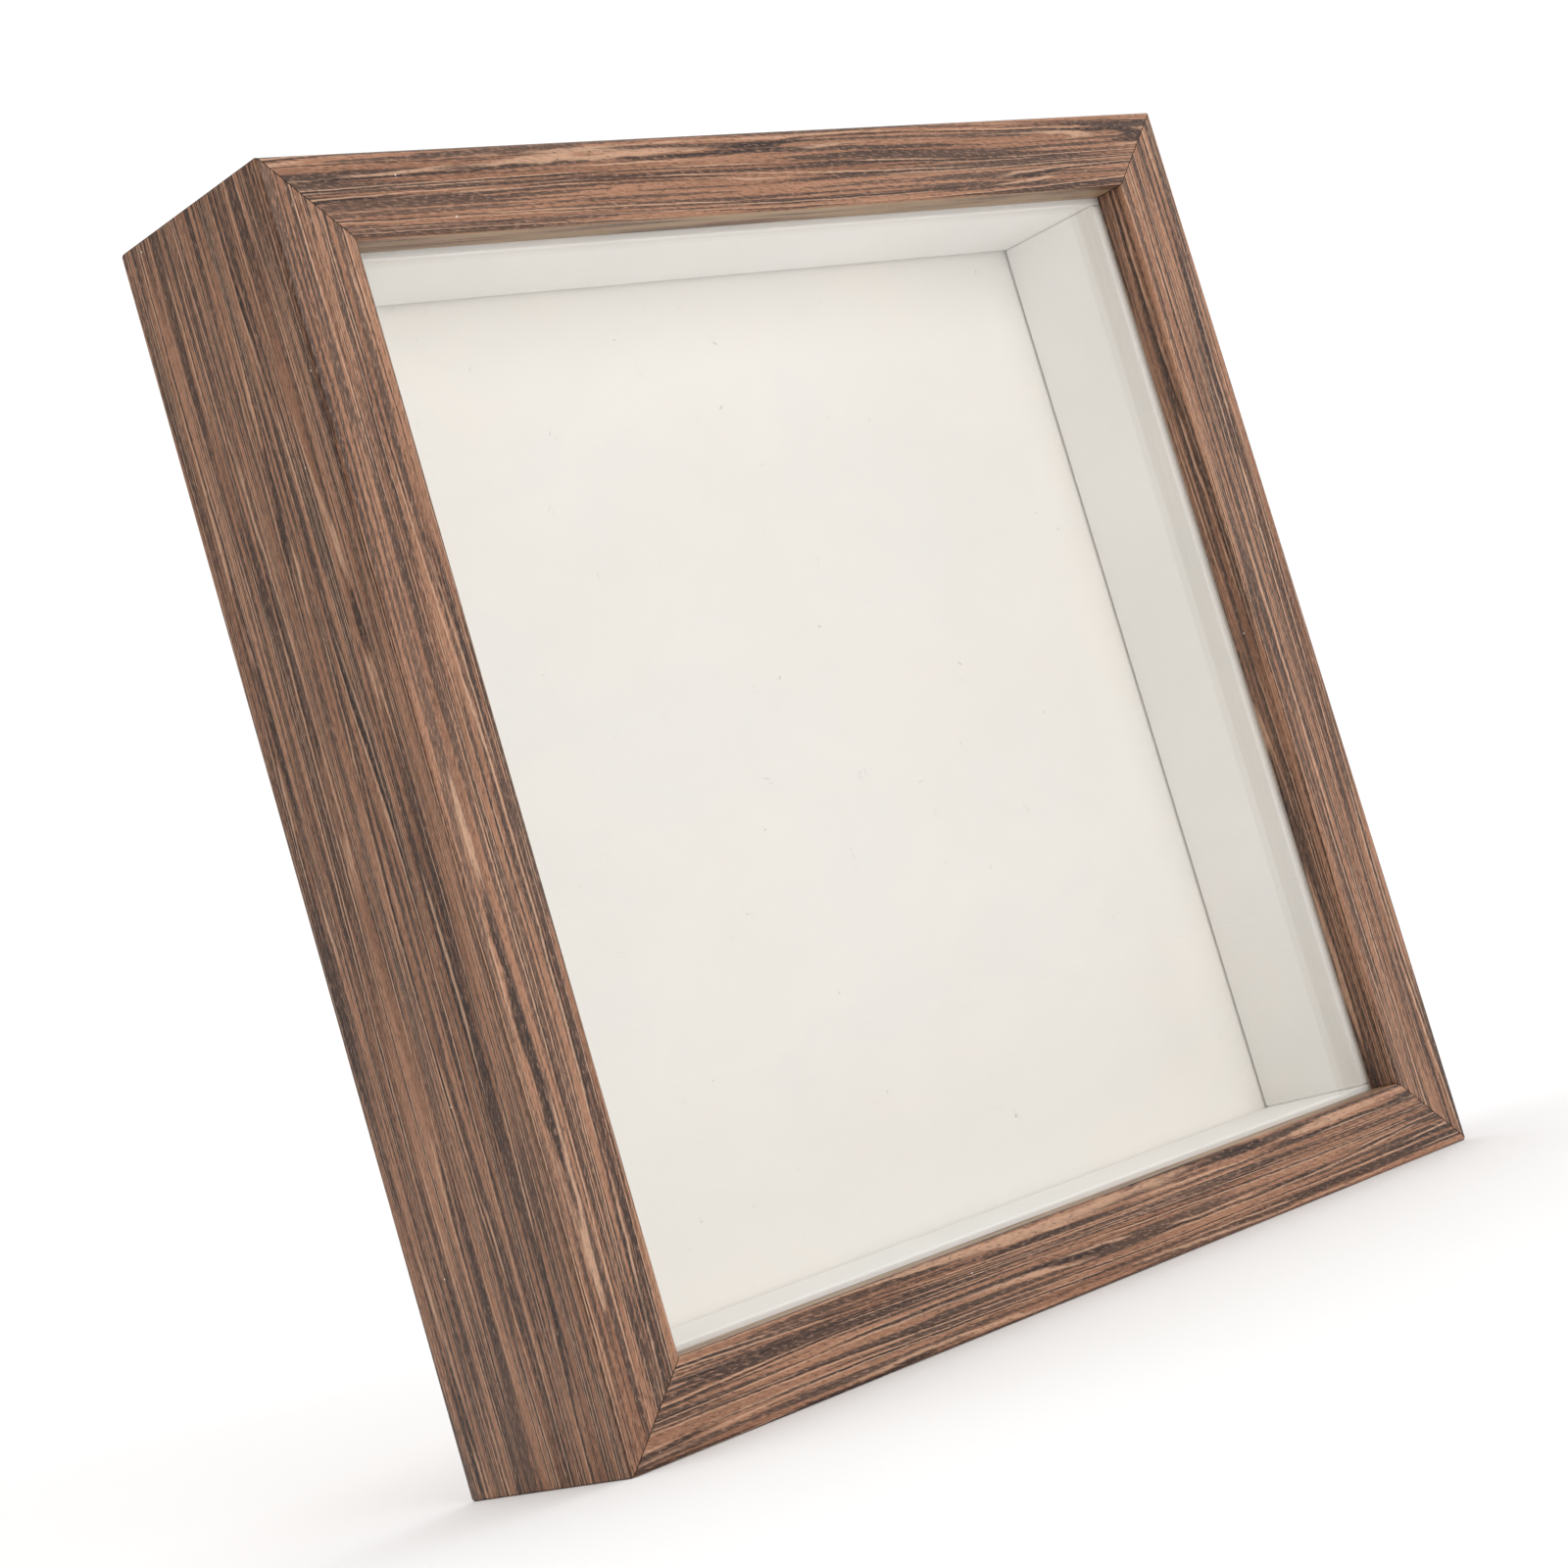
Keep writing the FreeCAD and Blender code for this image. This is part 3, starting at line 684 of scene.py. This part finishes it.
def unwrap_rail(bm, section, rings, rows, caps, side):
    """UV map in metres: along the roll of foil, and round the section from the foil's rear edge."""
    uv = bm.loops.layers.uv.new(FOIL_MAP)
    start, shift = FOIL_STARTS[side], FOIL_SHIFTS[side]
    lengths = [0.0]
    for first, second in zip(section, section[1:] + section[:1]):
        lengths.append(lengths[-1] + (second - first).length)
    places = {}
    for ring in rings:
        for number, vert in enumerate(ring):
            places[vert] = number
    for row in rows:
        for number, face in enumerate(row):
            for loop in face.loops:
                place = places[loop.vert]
                # The last face of a row comes back to the first vertex, at the full length round.
                closing = number == len(section) - 1 and place == 0
                length = lengths[-1] if closing else lengths[place]
                loop[uv].uv = (loop.vert.co.x + start, length + shift)
    for face in caps:
        for loop in face.loops:
            loop[uv].uv = (loop.vert.co.y + start, loop.vert.co.z + shift)


def make_rail(side):
    """Foil-wrapped rail with mitred ends, cut out round the V nails."""
    section, foil_count = rail_section()
    bm = bmesh.new()
    rings = rail_rings(bm, section)
    rows = skin(bm, rings)
    caps = [bm.faces.new(rings[0]), bm.faces.new(rings[-1])]
    for cap in caps:
        cap.material_index = BARE
    # The inner faces of the top and bottom lips take the foil with painted bounced light.
    cover_rail(rows, foil_count, LIT_LIP if side in ("top", "bottom") else FOILED)
    unwrap_rail(bm, section, rings, rows, caps, side)

    rail = make_piece(
        f"rail_{side}", bm, RAIL_MATERIALS, "case", [f"frame_rail_{side}"],
        place=to_side(side), weighted=False)
    apply_cut(rail, nail_cutter())
    shade(rail, True)


def nail_cutter():
    """The CAD V nails, a little thicker and carried on past the rails' rear, as a cutter."""
    bm = bmesh.new()
    bm.from_mesh(frame["nodes"]["corner_v_nails"].data)
    bmesh.ops.remove_doubles(bm, verts=bm.verts, dist=0.001 * MM)
    bmesh.ops.recalc_face_normals(bm, faces=bm.faces)
    bm.normal_update()
    moves = [vert.normal * NAIL_CLEARANCE for vert in bm.verts]
    for vert, move in zip(bm.verts, moves):
        vert.co += move
        if vert.co.y > REAR - MM:
            vert.co.y = REAR + MM
    for face in bm.faces:
        face.material_index = BARE
    return make_cutter(bm, RAIL_MATERIALS)


for side in SIDE_TURNS:
    make_rail(side)

# ---------------------------------------------------------------- glazing, spacers, boards


def block(low, high):
    """bmesh of a box between two corners."""
    bm = bmesh.new()
    corners = {}
    for x in (0, 1):
        for y in (0, 1):
            for z in (0, 1):
                spot = ((low, high)[x].x, (low, high)[y].y, (low, high)[z].z)
                corners[x, y, z] = bm.verts.new(spot)
    for axis in range(3):
        for level in (0, 1):
            loop = []
            for first, second in ((0, 0), (0, 1), (1, 1), (1, 0)):
                key = [first, second]
                key.insert(axis, level)
                loop.append(corners[tuple(key)])
            bm.faces.new(loop)
    return bm


glazing = make_piece(
    "glazing", block(*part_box("glazing_sheet")), (GLASS,), "case", ["glazing_sheet"])
round_edges(glazing, 0.3 * MM, segments=1)


def make_spacer(side):
    """Foam card strip wrapped in white paper, its ends showing the foam."""
    node = f"spacer_{side}"
    bm = block(*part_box(node))
    low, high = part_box(node)
    axis = 2 if side in ("left", "right") else 0
    for face in bm.faces:
        middle = face.calc_center_median()[axis]
        at_end = min(middle - low[axis], high[axis] - middle) < 0.01 * MM
        face.material_index = 1 if at_end else 0
    spacer = make_piece(
        f"inner_{node}", bm, (SPACER_PAPER, FOAM), "case", [node])
    round_edges(spacer, 0.4 * MM, segments=3)


for side in SIDE_TURNS:
    make_spacer(side)


def layered_board(node, layers):
    """Square board with its edge stepped through (share of thickness, inset, material)."""
    low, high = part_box(node)
    centre = (low + high) / 2
    half = (high.x - low.x) / 2
    bm = bmesh.new()
    rings = []
    kinds = []
    for share, inset, kind in layers:
        depth = low.y + (high.y - low.y) * share
        reach = half - inset
        ring = []
        for x, z in ((-1, -1), (1, -1), (1, 1), (-1, 1)):
            ring.append(bm.verts.new((centre.x + x * reach, depth, centre.z + z * reach)))
        rings.append(ring)
        kinds.append(kind)
    for row, kind in zip(skin(bm, rings), kinds[1:]):
        for face in row:
            face.material_index = kind
    bm.faces.new(rings[0]).material_index = kinds[0]
    bm.faces.new(rings[-1]).material_index = kinds[-1]
    return bm


make_piece(
    "display_panel",
    layered_board("display_board", [
        (0.0, 0.25 * MM, 0),
        (0.02, 0.06 * MM, 0),
        (0.05, 0.0, 0),
        (0.10, 0.0, 0),
        (0.12, 0.18 * MM, 1),
        (0.88, 0.18 * MM, 1),
        (0.90, 0.0, 2),
        (0.95, 0.0, 2),
        (0.98, 0.06 * MM, 2),
        (1.0, 0.25 * MM, 2),
    ]),
    (DISPLAY_PAPER, FOAM, LINER_PAPER), "back", ["display_board"])

NOTCH_RADIUS = 9.0 * MM


def back_outline():
    """Outline of the back board with its finger notch, as (x, z)."""
    low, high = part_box("back_board")
    notch = []
    steps = 28
    for number in range(steps + 1):
        angle = math.pi * (1 - number / steps)
        notch.append((NOTCH_RADIUS * math.cos(angle), low.z + NOTCH_RADIUS * math.sin(angle)))
    return [(low.x, low.z)] + notch + [(high.x, low.z), (high.x, high.z), (low.x, high.z)]


def prism(outline, near, far):
    """bmesh of an (x, z) outline carried from one depth to another."""
    bm = bmesh.new()
    rings = [[bm.verts.new((x, depth, z)) for x, z in outline] for depth in (near, far)]
    skin(bm, rings)
    for ring in rings:
        bm.faces.new(ring)
    return bm


back_low, back_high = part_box("back_board")
back = make_piece(
    "back_panel", prism(back_outline(), back_low.y, back_high.y), (BACK_PANEL,), "back",
    ["back_board"])
round_edges(back, 0.35 * MM, segments=2, angle=50)

# ---------------------------------------------------------------- hardware

# The V nails keep their CAD mesh, with this look.
for slot in frame["nodes"]["corner_v_nails"].material_slots:
    slot.material = NAIL_STEEL

BUTTON_HALF_WIDTH = 4.0 * MM
BUTTON_TIP_ROUND = 3.0 * MM
BUTTON_EDGE = 0.22 * MM
BUTTON_HOLE = 1.51 * MM
BUTTON_GAUGE = 1.2 * MM
# The tip is bent up over this length.
BUTTON_LIFTED = 5.0 * MM
# The pressed rib: how far it stands up, where its middle is, and half its length. Its half width is a
# share of the button's.
RIB_HEIGHT = 0.5 * MM
RIB_MIDDLE = 9.0 * MM
RIB_HALF_LENGTH = 4.2 * MM
RIB_HALF_WIDTH = 0.42


def make_button(joint):
    """Pressed steel turn button with a raised rib and a lifted, rounded tip.

    It is drawn with its pivot on the origin, its length along +X and its thickness along +Y.
    """
    node = "turn_" + joint["child"]
    pivot = Vector(joint["pos_m"])
    low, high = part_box(node)
    size = high - low
    reach_way = (low + high) / 2 - pivot
    reach_way.y = 0
    reach_way.normalize()
    reach = max(size.x, size.z) - BUTTON_HALF_WIDTH
    lift = size.y - BUTTON_GAUGE
    bend = reach - BUTTON_LIFTED

    # Places along the button: round its near end, over the rib, up the bend and round the tip.
    stations = []
    for number in range(9):
        stations.append(-BUTTON_HALF_WIDTH * math.cos(math.pi / 2 * number / 8))
    stations += [2 * MM, 4 * MM, 5 * MM, 6.5 * MM, 9 * MM, 11 * MM, 12.5 * MM, bend]
    tip_start = reach - BUTTON_TIP_ROUND
    stations += [bend + 0.8 * MM, tip_start]
    for number in range(1, 9):
        stations.append(tip_start + BUTTON_TIP_ROUND * math.sin(math.pi / 2 * number / 8))

    def half_width(x):
        if x < 0:
            return math.sqrt(max(BUTTON_HALF_WIDTH**2 - x**2, 0))
        if x > tip_start:
            corner = BUTTON_TIP_ROUND**2 - (x - tip_start) ** 2
            return BUTTON_HALF_WIDTH - BUTTON_TIP_ROUND + math.sqrt(max(corner, 0))
        return BUTTON_HALF_WIDTH

    def rise(x):
        return lift * max(0.0, (x - bend) / (reach - bend))

    def rib(x, share):
        along = max(0.0, 1 - ((x - RIB_MIDDLE) / RIB_HALF_LENGTH) ** 2)
        across = max(0.0, 1 - (share / RIB_HALF_WIDTH) ** 2)
        return RIB_HEIGHT * min(1.0, 2.2 * along) * across

    shares = (-1, -0.85, -RIB_HALF_WIDTH, -0.25, 0, 0.25, RIB_HALF_WIDTH, 0.85, 1)
    bm = bmesh.new()
    under, upper = [], []
    for x in stations:
        wide = max(half_width(x), 0.35 * MM)
        under.append([bm.verts.new((x, rise(x), share * wide)) for share in shares])
        row = []
        for share in shares:
            row.append(bm.verts.new((x, rise(x) + rib(x, share) + BUTTON_GAUGE, share * wide)))
        upper.append(row)
    slab(bm, under, upper)

    rear_way = Vector((0, 1, 0))
    side_way = reach_way.cross(rear_way)
    turn = Matrix((reach_way, rear_way, side_way)).transposed().to_4x4()
    place = Matrix.Translation(Vector((pivot.x, low.y, pivot.z))) @ turn
    button = make_piece(
        f"pressed_{node}", bm, (BUTTON_STEEL,), joint["child"], [node], place=place,
        weighted=False)
    hole = bmesh.new()
    centre = Vector((pivot.x, 0, pivot.z))
    ends = (low.y - MM, high.y + MM)
    lathe(hole, [(0, ends[0]), (BUTTON_HOLE, ends[0]), (BUTTON_HOLE, ends[1]), (0, ends[1])], centre)
    apply_cut(button, make_cutter(hole, (BUTTON_STEEL,)))
    shade(button, False)
    round_edges(button, BUTTON_EDGE, segments=2, angle=50)


turns = [joint for joint in frame["joints"] if joint["type"] == "hinge"]
for joint in turns:
    make_button(joint)

SCREW_SHANK = 1.45 * MM
SCREW_HEAD = 2.9 * MM
SCREW_HEAD_HEIGHT = 1.6 * MM
# Cross recess: half length and half width of its arms, depth, and how small it gets at the bottom.
CROSS_ARM = 1.75 * MM
CROSS_WEB = 0.36 * MM
CROSS_DEPTH = 1.05 * MM
CROSS_TAPER = 0.45


def make_screws():
    """Pan-head screws with a cross recess, one at each button's pivot, each at its own angle."""
    low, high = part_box("turn_button_screws")
    base = high.y - SCREW_HEAD_HEIGHT
    profile = [
        (0, low.y),
        (0.15 * MM, low.y + 0.1 * MM),
        (SCREW_SHANK, low.y + 2 * MM),
        (SCREW_SHANK, base),
        (SCREW_HEAD * 0.97, base),
        (SCREW_HEAD, base + 0.12 * MM),
        (SCREW_HEAD, base + 0.45 * MM),
        (SCREW_HEAD * 0.965, base + 0.85 * MM),
        (SCREW_HEAD * 0.87, base + 1.22 * MM),
        (SCREW_HEAD * 0.70, base + 1.47 * MM),
        (SCREW_HEAD * 0.45, high.y),
        (0, high.y),
    ]
    heads, recess = bmesh.new(), bmesh.new()
    for joint in turns:
        pivot = Vector(joint["pos_m"])
        pivot.y = 0
        angle = random.uniform(0, math.pi / 2)
        lathe(heads, profile, pivot, turn=angle)
        cross_cutter(recess, pivot, high.y, angle)
    screws = make_piece(
        "pan_head_screws", heads, (SCREW_STEEL,), "case", ["turn_button_screws"],
        weighted=False)
    apply_cut(screws, make_cutter(recess))
    shade(screws, False)


def cross_cutter(bm, pivot, top, angle):
    """Tapered cross that narrows as it goes down into a screw's head."""
    outline = []
    for quarter in range(4):
        turn = Matrix.Rotation(math.pi / 2 * quarter + angle, 2)
        for x, z in ((CROSS_WEB, CROSS_WEB), (CROSS_WEB, CROSS_ARM), (-CROSS_WEB, CROSS_ARM)):
            outline.append(turn @ Vector((x, z)))
    rings = []
    for depth, share in ((top - CROSS_DEPTH, CROSS_TAPER), (top + 0.2 * MM, 1.0)):
        ring = []
        for spot in outline:
            ring.append(bm.verts.new((pivot.x + spot.x * share, depth, pivot.z + spot.y * share)))
        rings.append(ring)
    skin(bm, rings)
    for ring in rings:
        bm.faces.new(ring)


make_screws()


def make_hanger():
    """Sawtooth hanger: a strip with nailed feet, a raised bridge and teeth along its lower edge."""
    low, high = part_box("sawtooth_hanger")
    gauge = 1.0 * MM
    rise = high.y - low.y - gauge
    half, tall = (high.x - low.x) / 2, (high.z - low.z) / 2
    centre = Vector(((low.x + high.x) / 2, low.y, (low.z + high.z) / 2))
    foot, ramp = 8.0 * MM, 2.0 * MM
    teeth, pitch, notch = 11, 2.0 * MM, 1.5 * MM
    corner = 1.5 * MM

    stations = {-half, half}
    for sign in (-1, 1):
        for number in range(1, 5):
            stations.add(sign * (half - corner * (1 - math.cos(math.pi / 8 * number))))
        for share in (0, 0.25, 0.5, 0.75, 1):
            stations.add(sign * (half - foot - ramp * share))
    for number in range(teeth):
        middle = (number - (teeth - 1) / 2) * pitch
        stations |= {middle, middle - pitch / 2, middle + pitch / 2}
    stations = sorted({round(x, 7) for x in stations})

    def level(x):
        share = (half - foot - abs(x)) / ramp
        share = min(max(share, 0.0), 1.0)
        return rise * share * share * (3 - 2 * share)

    def reach(x):
        inside = corner - (half - abs(x))
        return tall - (corner - math.sqrt(max(corner**2 - inside**2, 0)) if inside > 0 else 0)

    def tooth(x):
        if abs(x) > teeth * pitch / 2 + 1e-7:
            return 0.0
        place = (x / pitch + 0.5) % 1
        return notch * max(0.0, 1 - abs(place - 0.5) * 2)

    bm = bmesh.new()
    under, upper = [], []
    for x in stations:
        heights = (-reach(x) + tooth(x), -tall * 0.4, 0.0, tall * 0.5, reach(x))
        for rows, extra in ((under, 0.0), (upper, gauge)):
            rows.append([bm.verts.new(centre + Vector((x, level(x) + extra, z))) for z in heights])
    slab(bm, under, upper)
    hanger = make_piece(
        "sawtooth_strip", bm, (HANGER_STEEL,), "case", ["sawtooth_hanger"])
    round_edges(hanger, 0.12 * MM, segments=2, angle=50)


make_hanger()


def make_hanger_nails():
    """The two round-headed nails through the hanger's feet."""
    low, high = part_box("hanger_nails")
    head, shank, head_height = 2.0 * MM, 0.8 * MM, 0.8 * MM
    base = high.y - head_height
    profile = [
        (0, low.y),
        (0.1 * MM, low.y + 0.1 * MM),
        (shank, low.y + 1.5 * MM),
        (shank, base),
        (head * 0.96, base),
        (head, base + 0.08 * MM),
        (head * 0.98, base + 0.3 * MM),
        (head * 0.86, base + 0.55 * MM),
        (head * 0.6, base + 0.72 * MM),
        (head * 0.25, high.y),
        (0, high.y),
    ]
    bm = bmesh.new()
    for x in (low.x + head, high.x - head):
        lathe(bm, profile, Vector((x, 0, (low.z + high.z) / 2)), steps=32)
    make_piece(
        "round_head_nails", bm, (NAIL_STEEL,), "case", ["hanger_nails"], weighted=False)


make_hanger_nails()


def make_bumpers():
    """Domed rubber bumpers with a thin foot and a shallow ring."""
    low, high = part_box("bumper_pads")
    radius = (high.z - low.z) / 2
    tall = high.y - low.y
    profile = [
        (0, low.y),
        (radius * 0.98, low.y),
        (radius, low.y + 0.12 * MM),
        (radius, low.y + 0.42 * MM),
        (radius * 0.955, low.y + 0.55 * MM),
        (radius * 0.945, low.y + 0.45 * tall),
        (radius * 0.90, low.y + 0.68 * tall),
        (radius * 0.80, low.y + 0.86 * tall),
        (radius * 0.64, low.y + 0.965 * tall),
        (radius * 0.44, high.y),
        (radius * 0.38, high.y - 0.14 * MM),
        (radius * 0.30, high.y - 0.16 * MM),
        (radius * 0.24, high.y - 0.04 * MM),
        (0, high.y),
    ]
    bm = bmesh.new()
    for x in (low.x + radius, high.x - radius):
        lathe(bm, profile, Vector((x, 0, (low.z + high.z) / 2)))
    make_piece("rubber_bumpers", bm, (RUBBER,), "case", ["bumper_pads"], weighted=False)


make_bumpers()

# ---------------------------------------------------------------- floor, light, camera


def white_floor():
    """Material of the pale floor: near white with a very faint mottle."""
    s = Surface("studio_floor")
    mottle = s.noise(s.place(), 120.0, detail=2.0)
    paint = s.mix(mottle, colour(250, 250, 250), colour(247, 247, 248))
    return s.finish(s.principled(Base_Color=paint, Roughness=0.8, Specular_IOR_Level=0.2))


FLOOR_RADIUS = 6.0
FLOOR_DROP = 0.05 * MM


def make_floor():
    """Round floor a hair below the underside, so that the two faces don't flicker."""
    bm = bmesh.new()
    bmesh.ops.create_circle(bm, cap_ends=True, radius=FLOOR_RADIUS, segments=64)
    mesh = bpy.data.meshes.new("floor")
    bm.to_mesh(mesh)
    bm.free()
    mesh.materials.append(white_floor())
    floor = bpy.data.objects.new("floor", mesh)
    floor.location.z = -FLOOR_DROP
    bpy.context.scene.collection.objects.link(floor)


make_floor()

# Brightness of the surroundings: as light on matt surfaces, and as seen directly or in a reflection.
AMBIENT = 0.50
SURROUND = 1.08
# The left of the studio is a warm white, and dim in reflections, which keeps a veil off the case's side.
LEFT_SURROUND = 0.12
LEFT_TINT = (1.0, 0.93, 0.85, 1)
WHITE = (1, 1, 1, 1)


def make_world():
    """White surroundings, dimmer as light than as seen, so that the lamps model the shape."""
    world = bpy.data.worlds.new("studio")
    world.use_nodes = True
    tree = world.node_tree
    tree.nodes.clear()

    def background(strength, tint=WHITE):
        light = tree.nodes.new("ShaderNodeBackground")
        light.inputs["Color"].default_value = tint
        light.inputs["Strength"].default_value = strength
        return light.outputs[0]

    def choose(factor, first, second):
        choice = tree.nodes.new("ShaderNodeMixShader")
        for socket, source in zip(choice.inputs, (factor, first, second)):
            tree.links.new(source, socket)
        return choice.outputs[0]

    way = tree.nodes.new("ShaderNodeTexCoord").outputs["Generated"]
    parts = tree.nodes.new("ShaderNodeSeparateXYZ")
    tree.links.new(way, parts.inputs[0])
    leftness = tree.nodes.new("ShaderNodeMapRange")
    leftness.interpolation_type = "SMOOTHSTEP"
    tree.links.new(parts.outputs["X"], leftness.inputs["Value"])
    leftness.inputs["From Min"].default_value = 0.1
    leftness.inputs["From Max"].default_value = -0.8

    path = tree.nodes.new("ShaderNodeLightPath").outputs
    seen = background(SURROUND)
    left = leftness.outputs["Result"]
    mirrored = choose(left, seen, background(LEFT_SURROUND, LEFT_TINT))
    ambient = choose(left, background(AMBIENT), background(AMBIENT, LEFT_TINT))
    shown = choose(path["Is Glossy Ray"], seen, mirrored)
    light = choose(path["Is Diffuse Ray"], shown, ambient)
    output = tree.nodes.new("ShaderNodeOutputWorld")
    tree.links.new(light, output.inputs["Surface"])
    bpy.context.scene.world = world


def soft_sun(name, towards, strength, spread):
    """Broad, even light from a direction, given as the way to look to see it."""
    data = bpy.data.lights.new(name, "SUN")
    data.energy = strength
    data.angle = math.radians(spread)
    lamp = bpy.data.objects.new(name, data)
    lamp.rotation_euler = (-Vector(towards)).to_track_quat("-Z", "Y").to_euler()
    bpy.context.scene.collection.objects.link(lamp)


make_world()
soft_sun("key", (-0.04, -0.97, 0.16), 1.35, 40)
soft_sun("overhead", (0.10, 0.15, 1.0), 1.7, 70)

# Camera solved from the case's straight edges: it looks in from the left and a little upwards.
AIM = Vector((-15.5, -24.5, 115.9)) * MM
DISTANCE = 625.3 * MM
AZIMUTH = math.radians(-43.11)
ELEVATION = math.radians(-4.72)
ROLL = math.radians(16.59)
LENS = 76.81
SENSOR = 36.0
# The photo is a crop, so its centre isn't on the lens axis.
LENS_SHIFT = (-0.053, -0.048)


def make_camera():
    """Camera on the line through AIM, rolled so that the case leans as in the photo."""
    data = bpy.data.cameras.new("camera")
    data.lens = LENS
    data.sensor_width = SENSOR
    data.shift_x, data.shift_y = LENS_SHIFT
    data.clip_start = 0.01
    camera = bpy.data.objects.new("camera", data)
    back = Vector((
        math.sin(AZIMUTH) * math.cos(ELEVATION),
        -math.cos(AZIMUTH) * math.cos(ELEVATION),
        math.sin(ELEVATION),
    ))
    level = (-back).to_track_quat("-Z", "Y").to_matrix().to_4x4()
    camera.matrix_world = (
        Matrix.Translation(AIM + back * DISTANCE) @ level @ Matrix.Rotation(-ROLL, 4, "Z"))
    bpy.context.scene.collection.objects.link(camera)
    bpy.context.scene.camera = camera


make_camera()
bpy.context.scene.view_settings.view_transform = "Standard"
